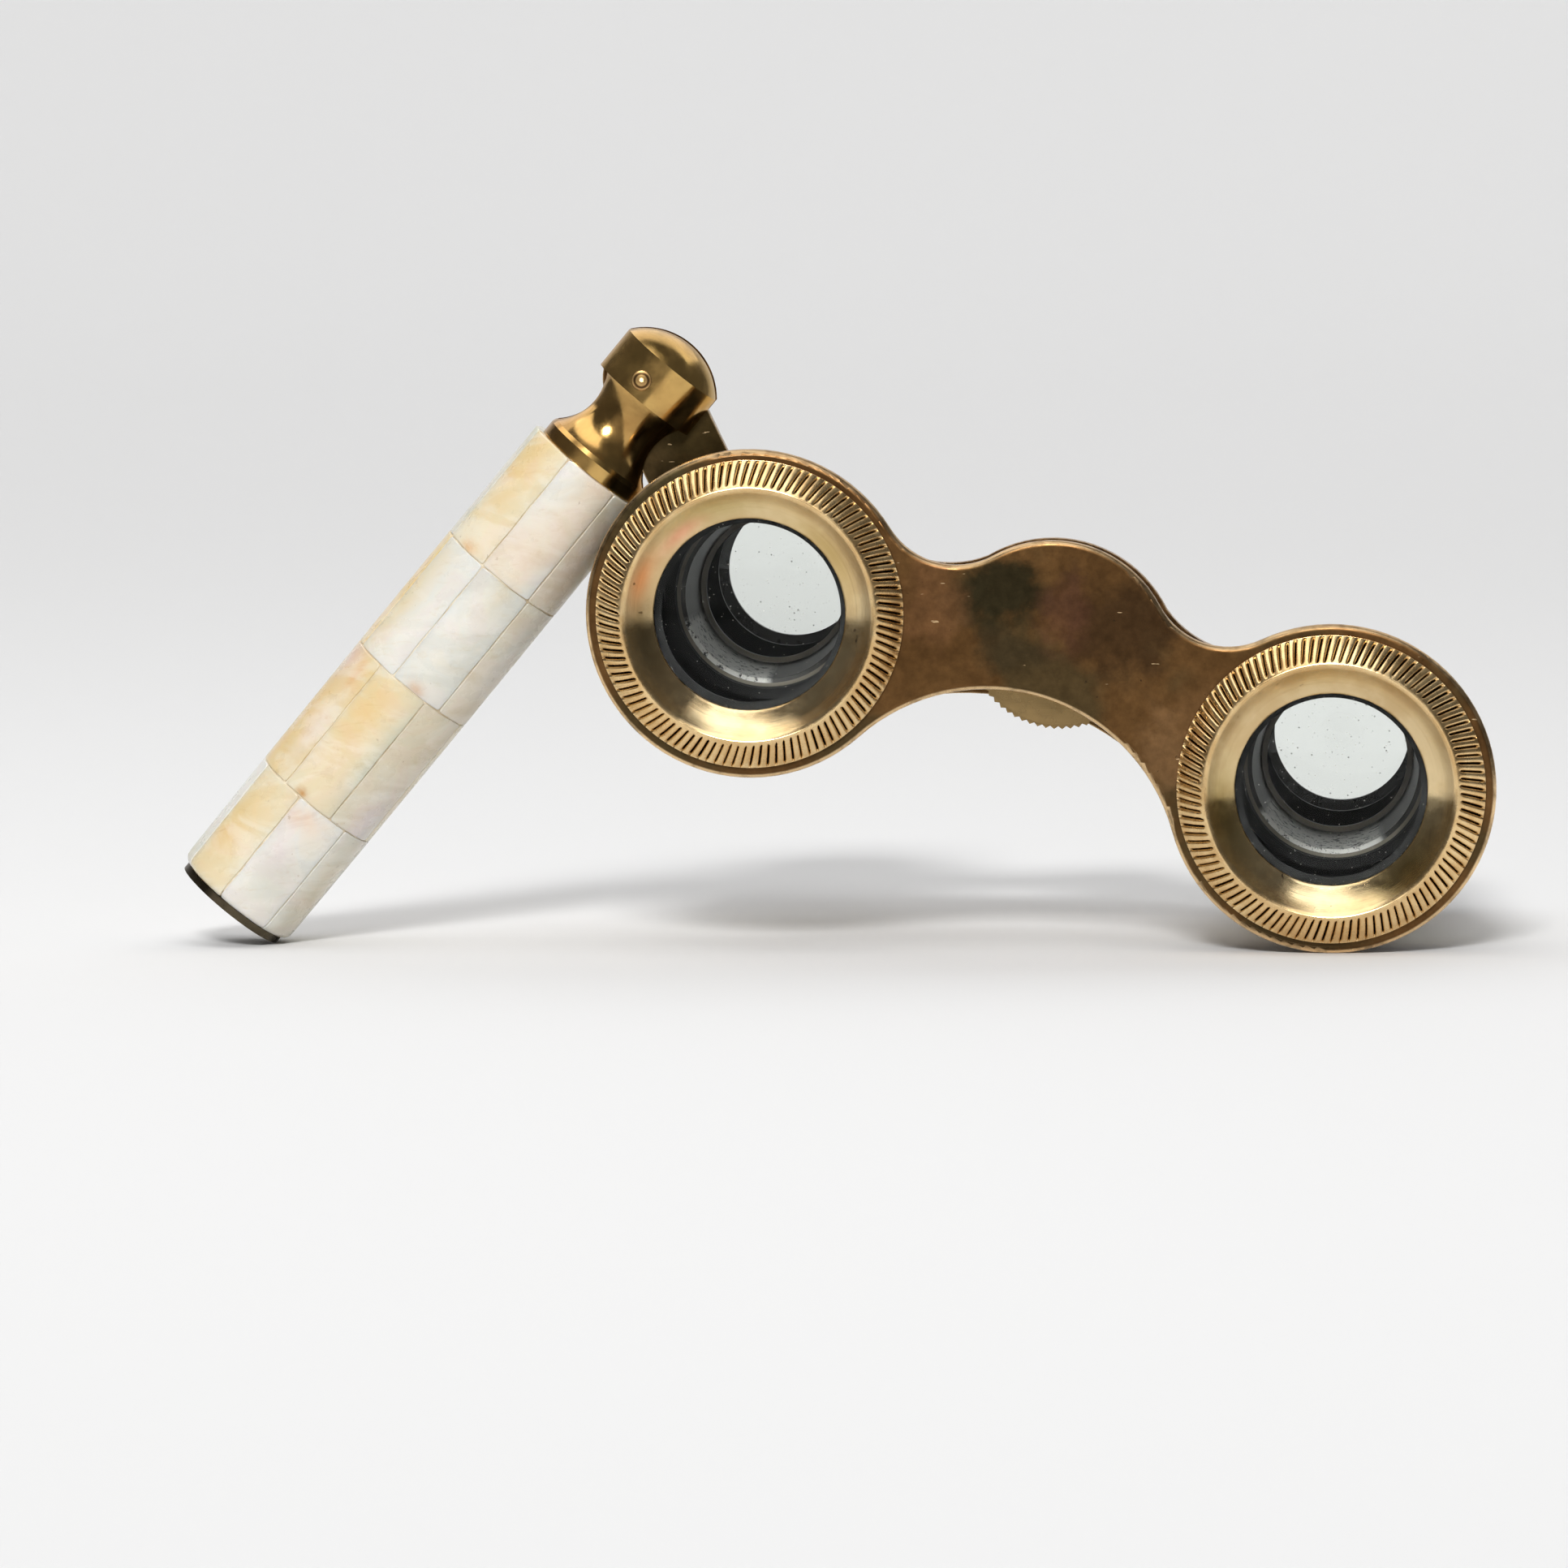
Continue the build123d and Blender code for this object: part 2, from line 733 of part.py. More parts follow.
def hinge_washers():
    with BuildPart() as washers:
        for depth in (slot_half - washer_thickness, -slot_half):
            with BuildSketch(pin_plane(depth)):
                Circle(3.6)
                Circle(pin_radius + running_gap, mode=Mode.SUBTRACT)
            extrude(amount=washer_thickness)
    return washers


def grip_radius(height):
    """The pearl swells a little in the middle and narrows at the lower end."""
    share = -height / pearl_length
    return handle_radius - 0.15 * (1 - share) ** 2 - 0.22 * share**3


def handle_pearl():
    """Four rows of tiles round the grip, and their cement."""
    rows = []
    gap_angle = degrees(tile_gap / handle_radius)
    high = 0.0
    edge_round = 0.9
    for number, (share, seam) in enumerate(zip(row_shares, row_turns)):
        low = high - share * pearl_length
        top = high if number == 0 else high - tile_gap / 2
        bottom = low if number == len(row_shares) - 1 else low + tile_gap / 2
        inner = core_radius + fit_gap
        outline = [(inner, top), (grip_radius(top), top), (grip_radius((top + bottom) / 2), (top + bottom) / 2)]
        if number == len(row_shares) - 1:
            lower_radius = grip_radius(bottom)
            outline += [(lower_radius, bottom + edge_round), (lower_radius - edge_round * 0.3, bottom + edge_round * 0.3)]
            outline += [(lower_radius - edge_round, bottom)]
        else:
            outline += [(grip_radius(bottom), bottom)]
        outline += [(inner, bottom)]
        rows.append(tile_row(handle, outline, handle_tiles, seam - 90, gap_angle))
        high = low
    layer = [
        (core_radius + fit_gap, 0),
        (grip_radius(0) - cement_depth, 0),
        (grip_radius(-pearl_length / 2) - cement_depth, -pearl_length / 2),
        (grip_radius(-pearl_length + edge_round) - cement_depth, -pearl_length + edge_round),
        (grip_radius(-pearl_length) - cement_depth - edge_round, -pearl_length),
        (core_radius + fit_gap, -pearl_length),
    ]
    return rows, cement_bed(handle, layer, rows)


def end_cap():
    spigot = spigot_radius - fit_gap
    return turned(
        handle,
        [
            (0, -pearl_length - cap_thickness),
            (cap_radius, -pearl_length - cap_thickness),
            (cap_radius, -pearl_length),
            (spigot, -pearl_length),
            (spigot, -pearl_length + 6.0),
            (0, -pearl_length + 6.0),
        ],
    )


# --- Write every piece --------------------------------------------------------------
os.makedirs("parts", exist_ok=True)

save(objective_plate(), "objective_plate")
save(handle_plate(), "handle_plate")
save(eyepiece_plate(), "eyepiece_plate")
save(ocular_bridge(), "ocular_bridge")

retainer_front = lens_back - 0.25
retainer_back = retainer_front - 1.0
retainer_bore = 9.2
eye_retainer_back = tube_end - 0.8
for side, base in sides.items():
    save(bezel(base), f"{side}_bezel")
    save(lens(base, objective_lens_radius, lens_front, lens_back, lens_bulge, lens_bulge), f"{side}_objective_lens")
    save(
        ring(base, objective_lens_radius, retainer_bore, retainer_front, retainer_back),
        f"{side}_objective_retainer",
    )
    save(barrel(base), f"{side}_barrel")
    rows, bed = barrel_pearl(base)
    save(rows[0], f"{side}_barrel_pearl_front")
    save(rows[1], f"{side}_barrel_pearl_rear")
    save(bed, f"{side}_barrel_cement")
    save(draw_tube(base), f"{side}_draw_tube")
    save(light_stop(base), f"{side}_light_stop")
    save(eyecup(base), f"{side}_eyecup")
    save(
        lens(base, eye_lens_radius, eye_retainer_back, eye_retainer_back - eye_lens_thickness, -0.45, -0.2),
        f"{side}_eye_lens",
    )
    save(ring(base, eye_lens_radius, eye_opening + 0.6, tube_end, eye_retainer_back), f"{side}_eye_lens_retainer")

save(focus_wheel(), "focus_wheel")
save(spindle(), "spindle")
save(wheel_pin(), "wheel_pin")
save(spindle_bush(), "spindle_bush")
save(ring(centre, column_radius, nut_radius + running_gap, handle_plate_back, rear_plate_back), "centre_column")
save(focus_nut(), "focus_nut")
save(
    slotted_screw(at(0, 0, bridge_back), head_radius=3.6, head_height=1.2, shank_radius=0.9, shank_length=1.5),
    "bridge_screw",
)

save(hinge_head(), "hinge_head")
save(hinge_pin(), "hinge_pin")
save(hinge_washers(), "hinge_washers")
save(ring(handle, core_radius, spigot_radius + fit_gap, 0, -pearl_length), "handle_core")
pearl_rows, cement = handle_pearl()
for number, row in enumerate(pearl_rows, start=1):
    save(row, f"pearl_row_{number}")
save(cement, "handle_cement")
save(end_cap(), "end_cap")
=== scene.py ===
import bpy
import bmesh
import math
import random
from mathutils import Matrix, Vector

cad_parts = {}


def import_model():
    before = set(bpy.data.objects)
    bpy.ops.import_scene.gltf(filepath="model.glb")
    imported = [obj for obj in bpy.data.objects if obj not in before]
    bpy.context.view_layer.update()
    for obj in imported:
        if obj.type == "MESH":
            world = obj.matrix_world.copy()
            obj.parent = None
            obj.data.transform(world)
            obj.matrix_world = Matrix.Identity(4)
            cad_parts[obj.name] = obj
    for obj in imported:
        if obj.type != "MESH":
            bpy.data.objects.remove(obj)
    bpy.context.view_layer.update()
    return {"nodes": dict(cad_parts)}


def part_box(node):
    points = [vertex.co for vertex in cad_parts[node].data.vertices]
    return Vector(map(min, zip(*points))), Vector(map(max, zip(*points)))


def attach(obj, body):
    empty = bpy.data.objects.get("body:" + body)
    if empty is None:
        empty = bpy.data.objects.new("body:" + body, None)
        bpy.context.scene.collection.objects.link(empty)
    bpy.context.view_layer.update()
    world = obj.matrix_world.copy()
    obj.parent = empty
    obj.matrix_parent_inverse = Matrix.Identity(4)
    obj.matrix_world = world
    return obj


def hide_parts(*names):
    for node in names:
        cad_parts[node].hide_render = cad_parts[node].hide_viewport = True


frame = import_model()
nodes = frame["nodes"]
MM = 0.001
rng = random.Random(7)

# --- Places taken from the frame -----------------------------------------------------


def middle(name):
    low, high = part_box(name)
    return (Vector(low) + Vector(high)) / 2


LEAN = math.radians(16.8)
HANDLE_ANGLE = math.radians(50.4)
ACROSS = Vector((math.cos(LEAN), 0, -math.sin(LEAN)))
UPWARDS = Vector((math.sin(LEAN), 0, math.cos(LEAN)))
TOWARDS_VIEWER = Vector((0, -1, 0))
PLATE_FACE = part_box("objective_plate")[0][1]


def local_frame(origin, x_dir, y_dir, z_dir):
    matrix = Matrix((x_dir, y_dir, z_dir)).transposed().to_4x4()
    matrix.translation = origin
    return matrix


def barrel_frame(side):
    """z points out of the objective, with z = 0 on the front face of the objective plate."""
    centre = middle(side + "_objective_lens")
    return local_frame(Vector((centre.x, PLATE_FACE, centre.z)), ACROSS, UPWARDS, TOWARDS_VIEWER)


SPINDLE = middle("spindle")
GLASSES = local_frame(Vector((SPINDLE.x, PLATE_FACE, SPINDLE.z)), ACROSS, UPWARDS, TOWARDS_VIEWER)
BARRELS = {side: barrel_frame(side) for side in ("left", "right")}
UP_HANDLE = Vector((math.cos(HANDLE_ANGLE), 0, math.sin(HANDLE_ANGLE)))
TO_GLASSES = Vector((math.sin(HANDLE_ANGLE), 0, -math.cos(HANDLE_ANGLE)))

core_low, core_high = (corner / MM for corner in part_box("handle_core"))
CORE_RADIUS = (core_high.y - core_low.y) / 2
GRIP_LENGTH = (core_high.x - core_low.x - 2 * CORE_RADIUS * math.sin(HANDLE_ANGLE)) / math.cos(HANDLE_ANGLE)
HANDLE = local_frame(
    middle("handle_core") + UP_HANDLE * (GRIP_LENGTH / 2 * MM), TO_GLASSES, Vector((0, 1, 0)), UP_HANDLE
)

# Sizes in millimetres and turns in degrees, which follow the CAD model
BEZEL_FOOT_RADIUS = 15.9
BEZEL_RIM_RADIUS = 13.2
BEZEL_HEIGHT = 3.0
BEZEL_SEAT_RADIUS = 11.42
SLEEVE_RADIUS = 12.5
SLEEVE_LENGTH = 5.9
DISH_EDGE_RADIUS = 12.86
BEZEL_TEETH = 108
OPENING_RADIUS = 9.9
GRIP_RADIUS = 7.1
TILE_GAP = 0.06  # a hairline seam, where the CAD model has 0.22
ROW_SHARES = (0.244, 0.253, 0.271, 0.232)
ROW_TURNS = (-16.0, -15.0, -30.0, -11.0)
HANDLE_TILES = 7
BARREL_TILES = 14
HANDLE_PLATE_BACK = -10.6
REAR_PLATE_FRONT = -38.0
BED_FRONT_RADIUS = 13.3
BED_REAR_RADIUS = 11.5
TILE_THICKNESS = 1.4
ROUND_STEPS = 128

# --- Small tools ---------------------------------------------------------------------


def smooth_step(low, high, value):
    t = min(1.0, max(0.0, (value - low) / (high - low)))
    return t * t * (3 - 2 * t)


def surface_of_turning(profile, steps, shift=None, closed=False):
    """bmesh turned round z from (radius, height) points; shift may move each point."""
    bm = bmesh.new()
    rings = []
    for row, (radius, height) in enumerate(profile):
        if radius < 1e-6:
            rings.append([bm.verts.new((0, 0, height))])
            continue
        ring = []
        for step in range(steps):
            turn = 2 * math.pi * step / steps
            r, h, t = (radius, height, turn) if shift is None else shift(row, radius, height, turn)
            ring.append(bm.verts.new((r * math.cos(t), r * math.sin(t), h)))
        rings.append(ring)
    pairs = list(zip(rings, rings[1:]))
    if closed:
        pairs.append((rings[-1], rings[0]))
    for lower, upper in pairs:
        for step in range(steps):
            after = (step + 1) % steps
            if len(lower) == 1 and len(upper) == 1:
                break
            if len(lower) == 1:
                bm.faces.new((lower[0], upper[after], upper[step]))
            elif len(upper) == 1:
                bm.faces.new((lower[step], lower[after], upper[0]))
            else:
                bm.faces.new((lower[step], lower[after], upper[after], upper[step]))
    return bm


def make_piece(name, bm, place, body, material, replaces=(), sharp=40, marks=None):
    """Turns a bmesh in millimetres of a local frame into a piece that rides on a body.

    marks holds one value for each vertex, in their order, under the name of an attribute."""
    bmesh.ops.recalc_face_normals(bm, faces=bm.faces)
    mesh = bpy.data.meshes.new(name)
    bm.to_mesh(mesh)
    bm.free()
    for label, values in (marks or {}).items():
        kind, field = ("FLOAT", "value") if isinstance(values[0], float) else ("FLOAT_COLOR", "color")
        flat = values if kind == "FLOAT" else [part for value in values for part in (*value, 1.0)]
        mesh.attributes.new(label, kind, "POINT").data.foreach_set(field, flat)
    mesh.transform(place @ Matrix.Scale(MM, 4))
    mesh.materials.append(material)
    mesh.polygons.foreach_set("use_smooth", [True] * len(mesh.polygons))
    mesh.set_sharp_from_angle(angle=math.radians(sharp))
    piece = bpy.data.objects.new(name, mesh)
    bpy.context.scene.collection.objects.link(piece)
    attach(piece, body)
    if replaces:
        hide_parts(*replaces)
    return piece


def finish_node(name, material, bevel=0.0, sharp=40):
    """Gives a CAD node its material and, if asked, a small bevel by a modifier."""
    node = nodes[name]
    node.data.materials.clear()
    node.data.materials.append(material)
    if bevel:
        rim = node.modifiers.new("rim", "BEVEL")
        rim.width = bevel * MM
        rim.segments = 3
        rim.limit_method = "ANGLE"
        rim.angle_limit = math.radians(sharp)
        rim.harden_normals = False
    return node


# --- Materials -----------------------------------------------------------------------


class Nodes:
    """A short way to write a node tree."""

    def __init__(self, name):
        self.material = bpy.data.materials.new(name)
        self.material.use_nodes = True
        self.tree = self.material.node_tree
        self.shader = self.tree.nodes["Principled BSDF"]
        self.place = self.tree.nodes.new("ShaderNodeTexCoord").outputs["Object"]

    def link(self, source, target):
        self.tree.links.new(source, target)

    def node(self, kind, inputs=None, **settings):
        made = self.tree.nodes.new(kind)
        for key, value in settings.items():
            setattr(made, key, value)
        for key, value in (inputs or {}).items():
            if isinstance(value, bpy.types.NodeSocket):
                self.link(value, made.inputs[key])
            else:
                made.inputs[key].default_value = value
        return made

    def noise(self, scale, detail=4.0, rough=0.55, stretch=None, distortion=0.0):
        """Grey noise; scale is in patches per millimetre."""
        where = self.place
        if stretch:
            where = self.node("ShaderNodeMapping", {"Vector": self.place, "Scale": stretch}).outputs[0]
        inputs = {"Vector": where, "Scale": scale / MM, "Detail": detail}
        inputs.update({"Roughness": rough, "Distortion": distortion})
        return self.node("ShaderNodeTexNoise", inputs).outputs["Fac"]

    def steps(self, value, *stops):
        """A colour ramp over value: stops are (position, colour)."""
        ramp = self.node("ShaderNodeValToRGB", {"Fac": value})
        band = ramp.color_ramp
        while len(band.elements) < len(stops):
            band.elements.new(0.5)
        for element, (position, colour) in zip(band.elements, stops):
            element.position = position
            element.color = (*colour, 1) if len(colour) == 3 else colour
        return ramp.outputs["Color"]

    def grey(self, value, low, high, out_low=0.0, out_high=1.0):
        made = self.node(
            "ShaderNodeMapRange",
            {"Value": value, "From Min": low, "From Max": high, "To Min": out_low, "To Max": out_high},
        )
        made.interpolation_type = "SMOOTHSTEP"
        return made.outputs["Result"]

    def mix(self, share, first, second, kind="MIX"):
        made = self.node("ShaderNodeMix", data_type="RGBA", blend_type=kind)
        for key, value in (("Factor", share), ("A", first), ("B", second)):
            socket = [s for s in made.inputs if s.name == key and s.enabled][0]
            if isinstance(value, bpy.types.NodeSocket):
                self.link(value, socket)
            else:
                socket.default_value = (*value, 1) if key != "Factor" and len(value) == 3 else value
        return [s for s in made.outputs if s.enabled][0]

    def maths(self, kind, first, second=0.0):
        made = self.node("ShaderNodeMath", {0: first, 1: second}, operation=kind)
        return made.outputs[0]

    def vector(self, kind, first, second):
        made = self.node("ShaderNodeVectorMath", {0: first, 1: second}, operation=kind)
        return made.outputs["Value" if kind == "DOT_PRODUCT" else "Vector"]

    def length(self, value):
        made = self.node("ShaderNodeVectorMath", {0: value}, operation="LENGTH")
        return made.outputs["Value"]

    def mark(self, label, output="Fac"):
        """A value or colour that make_piece stored on the vertices."""
        return self.node("ShaderNodeAttribute", attribute_name=label).outputs[output]

    def spot(self, centre, reach):
        """1 at a place of the row frame, fading to 0 over the reach in millimetres."""
        apart = self.vector("SUBTRACT", self.place, tuple(centre))
        length = self.length(self.vector("MULTIPLY", apart, tuple(1 / (r * MM) for r in reach)))
        ragged = self.maths("ADD", length, self.grey(self.noise(0.25, 4.0, 0.6), 0.3, 0.7, -0.3, 0.3))
        return self.grey(ragged, 1.25, 0.45)

    def bump(self, height, strength, distance):
        inputs = {"Height": height, "Strength": strength, "Distance": distance * MM}
        made = self.node("ShaderNodeBump", inputs)
        self.link(made.outputs[0], self.shader.inputs["Normal"])

    def set(self, **inputs):
        for key, value in inputs.items():
            socket = self.shader.inputs[key.replace("_", " ")]
            if isinstance(value, bpy.types.NodeSocket):
                self.link(value, socket)
                continue
            is_colour = isinstance(value, tuple) and len(value) == 3
            socket.default_value = (*value, 1) if is_colour else value
        return self.material


def brass(name, clean, tarnish, stain, amount, roughness, scratch):
    """Brass with tarnish in clouds, small dark specks and fine scratches.

    amount is the share of tarnish, from 0 to 1, and scratch the strength of the scratches."""
    n = Nodes(name)
    clouds = n.grey(n.noise(0.12, 6.0, 0.62, distortion=0.4), 0.5 - amount * 0.5, 0.75 - amount * 0.35)
    colour = n.mix(clouds, tarnish, clean)
    warm = n.grey(n.noise(0.05, 3.0, 0.5), 0.42, 0.66, 0.0, 0.55)
    colour = n.mix(warm, colour, stain)
    specks = n.grey(n.noise(1.6, 3.0, 0.6), 0.71, 0.77)
    colour = n.mix(n.maths("MULTIPLY", specks, 0.6), colour, tuple(c * 0.25 for c in tarnish))
    lines = n.noise(0.9, 5.0, 0.7, stretch=(0.06, 1.0, 1.6))
    cloud_rough = n.grey(n.noise(0.5, 5.0, 0.6), 0.3, 0.7, roughness * 0.7, roughness * 1.5)
    n.bump(n.maths("MULTIPLY", lines, 1.0), scratch, 0.02)
    return n.set(Base_Color=colour, Metallic=1.0, Roughness=cloud_rough)


def aged_plate():
    """Brown brass with olive and reddish clouds; the edges and a few nicks are rubbed bright, and the
    bright edge colour is also a painted highlight, strongest on edges facing sideways and down as a painted
    reflection of the floor.
    """
    n = Nodes("aged_brass")
    clouds = n.grey(n.noise(0.10, 6.0, 0.62, distortion=0.5), 0.36, 0.66)
    colour = n.mix(clouds, (0.115, 0.057, 0.020), (0.165, 0.084, 0.030))
    olive = n.grey(n.noise(0.075, 4.0, 0.5), 0.50, 0.64, 0.0, 0.8)
    colour = n.mix(olive, colour, (0.075, 0.054, 0.024))
    for place, reach, share, tint in PLATE_CLOUDS:
        cloud = n.spot(GLASSES @ (Vector(place) * MM), reach)
        colour = n.mix(n.maths("MULTIPLY", cloud, share), colour, tint)
    grain = n.grey(n.noise(1.1, 5.0, 0.7), 0.3, 0.7, 0.88, 1.12)
    colour = n.mix(1.0, colour, grain, "MULTIPLY")
    specks = n.grey(n.noise(1.5, 3.0, 0.65), 0.70, 0.76, 0.0, 0.8)
    colour = n.mix(specks, colour, (0.030, 0.020, 0.012))
    soft = n.node("ShaderNodeBevel", {"Radius": 0.25 * MM}, samples=6).outputs[0]
    true = n.node("ShaderNodeNewGeometry").outputs["Normal"]
    flat = n.vector("DOT_PRODUCT", soft, true)
    facing = n.vector("DOT_PRODUCT", true, (0.0, 1.0, 0.0))
    edge = n.grey(n.maths("ABSOLUTE", facing), 0.97, 0.80)
    breakup_noise = n.grey(n.noise(0.5, 4.0, 0.6), 0.25, 0.55, 0.35, 1.0)
    # Bright edge colour: partly brass rubbed bright, partly a painted highlight on the rounded edges.
    edge_wear_and_highlight = n.maths("MULTIPLY", n.maths("MAXIMUM", edge, n.grey(flat, 0.995, 0.93)), breakup_noise)
    upward = n.node("ShaderNodeSeparateXYZ", {0: true}).outputs["Z"]
    # Painted reflection of the floor: edges facing up get less of the bright edge colour than edges facing
    # sideways and down.
    edge_wear_and_highlight = n.maths("MULTIPLY", edge_wear_and_highlight, n.grey(upward, -0.1, 0.3, 1.0, 0.45))
    nicks = n.grey(n.noise(1.2, 2.0, 0.5, stretch=(0.35, 1.0, 1.6)), 0.735, 0.76)
    edge_wear_and_highlight = n.maths("MAXIMUM", edge_wear_and_highlight, nicks)
    colour = n.mix(edge_wear_and_highlight, colour, (0.84, 0.60, 0.33))
    rough = n.grey(edge_wear_and_highlight, 0.0, 1.0, 0.38, 0.24)
    cloud_rough = n.maths("ADD", n.grey(n.noise(0.6, 5.0, 0.6), 0.3, 0.7, -0.08, 0.1), rough)
    lines = n.noise(0.8, 5.0, 0.7, stretch=(0.05, 1.0, 1.4))
    n.bump(lines, 0.12, 0.02)
    return n.set(Base_Color=colour, Metallic=1.0, Roughness=cloud_rough)


def bezel_brass():
    """Gold knurl with grooves darkened by grime and by painted shade; a polished dish with turning lines
    and stains.
    """
    n = Nodes("polished_brass")
    radius = n.mark("radius")
    depth = n.mark("groove")
    dish = n.mark("dish")
    stain = n.mark("stain", "Color")
    clouds = n.grey(n.noise(0.25, 6.0, 0.62, distortion=0.4), 0.35, 0.68)
    colour = n.mix(clouds, (0.74, 0.49, 0.22), (0.92, 0.68, 0.36))
    patchy = n.grey(n.noise(0.5, 4.0, 0.6), 0.15, 0.55, 0.75, 1.0)
    # Painted shade: the grooves go near black, partly grime, partly shade painted into the recesses.
    groove_dirt_and_shade = n.maths("MULTIPLY", n.grey(depth, 0.18, 0.75), patchy)
    colour = n.mix(groove_dirt_and_shade, colour, (0.035, 0.024, 0.010))
    polished = n.mix(n.grey(n.noise(0.18, 5.0, 0.6), 0.38, 0.62), (0.72, 0.53, 0.28), (0.84, 0.66, 0.38))
    polished = n.mix(1.0, polished, stain, "MULTIPLY")
    specks = n.grey(n.noise(1.3, 2.0, 0.5), 0.73, 0.78, 0.0, 0.75)
    polished = n.mix(specks, polished, (0.10, 0.055, 0.025))
    colour = n.mix(dish, colour, polished)
    lines = {"W": n.maths("MULTIPLY", radius, 9.0), "Detail": 3.0}
    turning = n.node("ShaderNodeTexNoise", lines, noise_dimensions="1D")
    height = n.maths("MULTIPLY", turning.outputs["Fac"], dish)
    n.bump(height, 0.22, 0.02)
    rough = n.mix(dish, (0.27, 0.27, 0.27), (0.15, 0.15, 0.15))
    rough = n.maths("ADD", rough, n.grey(n.noise(0.7, 5.0, 0.6), 0.3, 0.7, -0.05, 0.07))
    return n.set(Base_Color=colour, Metallic=1.0, Roughness=rough)


def pearl():
    """Mother-of-pearl: milky tint from each tile, grown waves, pink and green sheen, fine lines."""
    n = Nodes("mother_of_pearl")
    tint = n.mark("tint", "Color")
    n.place = n.vector("ADD", n.place, n.mark("tile", "Vector"))
    waves = n.noise(0.11, 5.0, 0.6, stretch=(1.0, 1.0, 2.2), distortion=1.4)
    streaks = n.noise(0.42, 6.0, 0.65, stretch=(1.0, 1.0, 3.0), distortion=0.9)
    colour = n.mix(n.grey(waves, 0.40, 0.62, 0.0, 0.30), tint, (0.95, 0.92, 0.86))
    colour = n.mix(n.grey(streaks, 0.52, 0.74, 0.0, 0.30), colour, (0.78, 0.66, 0.48), "MULTIPLY")
    film = n.noise(0.16, 3.0, 0.5, distortion=1.1)
    sheen = n.steps(
        film, (0.30, (1.0, 0.97, 0.92)), (0.42, (1.0, 0.93, 0.91)), (0.50, (1.0, 0.99, 0.93)),
        (0.58, (0.95, 0.98, 0.96)), (0.70, (1.0, 0.96, 0.86)),
    )
    colour = n.mix(0.5, colour, sheen, "MULTIPLY")
    pits = n.grey(n.noise(1.1, 3.0, 0.6), 0.71, 0.77, 0.0, 0.45)
    colour = n.mix(pits, colour, (0.36, 0.24, 0.13))
    rough = n.grey(n.noise(0.35, 5.0, 0.6), 0.3, 0.7, 0.22, 0.40)
    height = n.maths("ADD", n.maths("MULTIPLY", waves, 0.8), n.maths("MULTIPLY", streaks, 0.25))
    n.bump(height, 0.20, 0.06)
    n.set(Coat_Weight=0.35, Coat_Roughness=0.12, Specular_IOR_Level=0.5)
    n.set(Subsurface_Weight=0.35, Subsurface_Radius=Vector((1.0, 0.8, 0.55)), Subsurface_Scale=2.0 * MM)
    return n.set(Base_Color=colour, Roughness=rough)


def cement():
    n = Nodes("cement")
    colour = n.mix(n.grey(n.noise(0.5, 6.0, 0.6), 0.35, 0.65), (0.62, 0.50, 0.33), (0.86, 0.78, 0.62))
    n.bump(n.noise(2.5, 4.0, 0.6), 0.4, 0.03)
    return n.set(Base_Color=colour, Roughness=0.7)


def black_metal():
    """Blackened brass inside the tubes, greyed by dust."""
    n = Nodes("blackened_brass")
    dust = n.grey(n.noise(0.35, 6.0, 0.65), 0.42, 0.70, 0.0, 0.5)
    colour = n.mix(dust, (0.004, 0.004, 0.004), (0.016, 0.016, 0.017))
    specks = n.grey(n.noise(1.9, 3.0, 0.6), 0.70, 0.75)
    colour = n.mix(specks, colour, (0.14, 0.13, 0.12))
    n.bump(n.noise(2.2, 4.0, 0.6), 0.25, 0.03)
    rough = n.grey(n.noise(0.8, 3.0), 0.3, 0.7, 0.35, 0.55)
    return n.set(Base_Color=colour, Roughness=rough, Specular_IOR_Level=0.3)


def funnel_metal():
    """The funnel inside the draw tube: blackish lacquer with a silvery crescent that is a painted pool of
    light, a tan lip, black behind.
    """
    n = Nodes("funnel_lacquer")
    zone = n.mark("zone")
    lit_crescent = n.mark("lit_crescent")
    breakup_noise = n.grey(n.noise(1.6, 5.0, 0.7), 0.36, 0.48)
    # Painted pool of light: a silvery crescent on the cone where light through the opening would fall,
    # broken up by noise.
    colour = n.mix(n.maths("MULTIPLY", breakup_noise, lit_crescent), (0.040, 0.035, 0.030), (0.95, 0.92, 0.88))
    colour = n.mix(n.grey(zone, 0.35, 0.45), colour, (0.22, 0.185, 0.135))
    colour = n.mix(n.grey(zone, 0.75, 0.85), colour, (0.012, 0.011, 0.010))
    n.bump(n.noise(2.0, 4.0, 0.6), 0.2, 0.02)
    return n.set(Base_Color=colour, Roughness=0.42)


def black_horn():
    """Dark polished eyecups with brown depths and fine scratches."""
    n = Nodes("eyecup_black")
    colour = n.mix(n.grey(n.noise(0.2, 5.0, 0.6), 0.4, 0.68), (0.008, 0.007, 0.006), (0.026, 0.017, 0.011))
    n.bump(n.noise(1.2, 5.0, 0.7, stretch=(1.0, 0.08, 1.0)), 0.12, 0.02)
    rough = n.grey(n.noise(0.9, 4.0), 0.3, 0.7, 0.22, 0.42)
    return n.set(Base_Color=colour, Roughness=rough, Specular_IOR_Level=0.35)


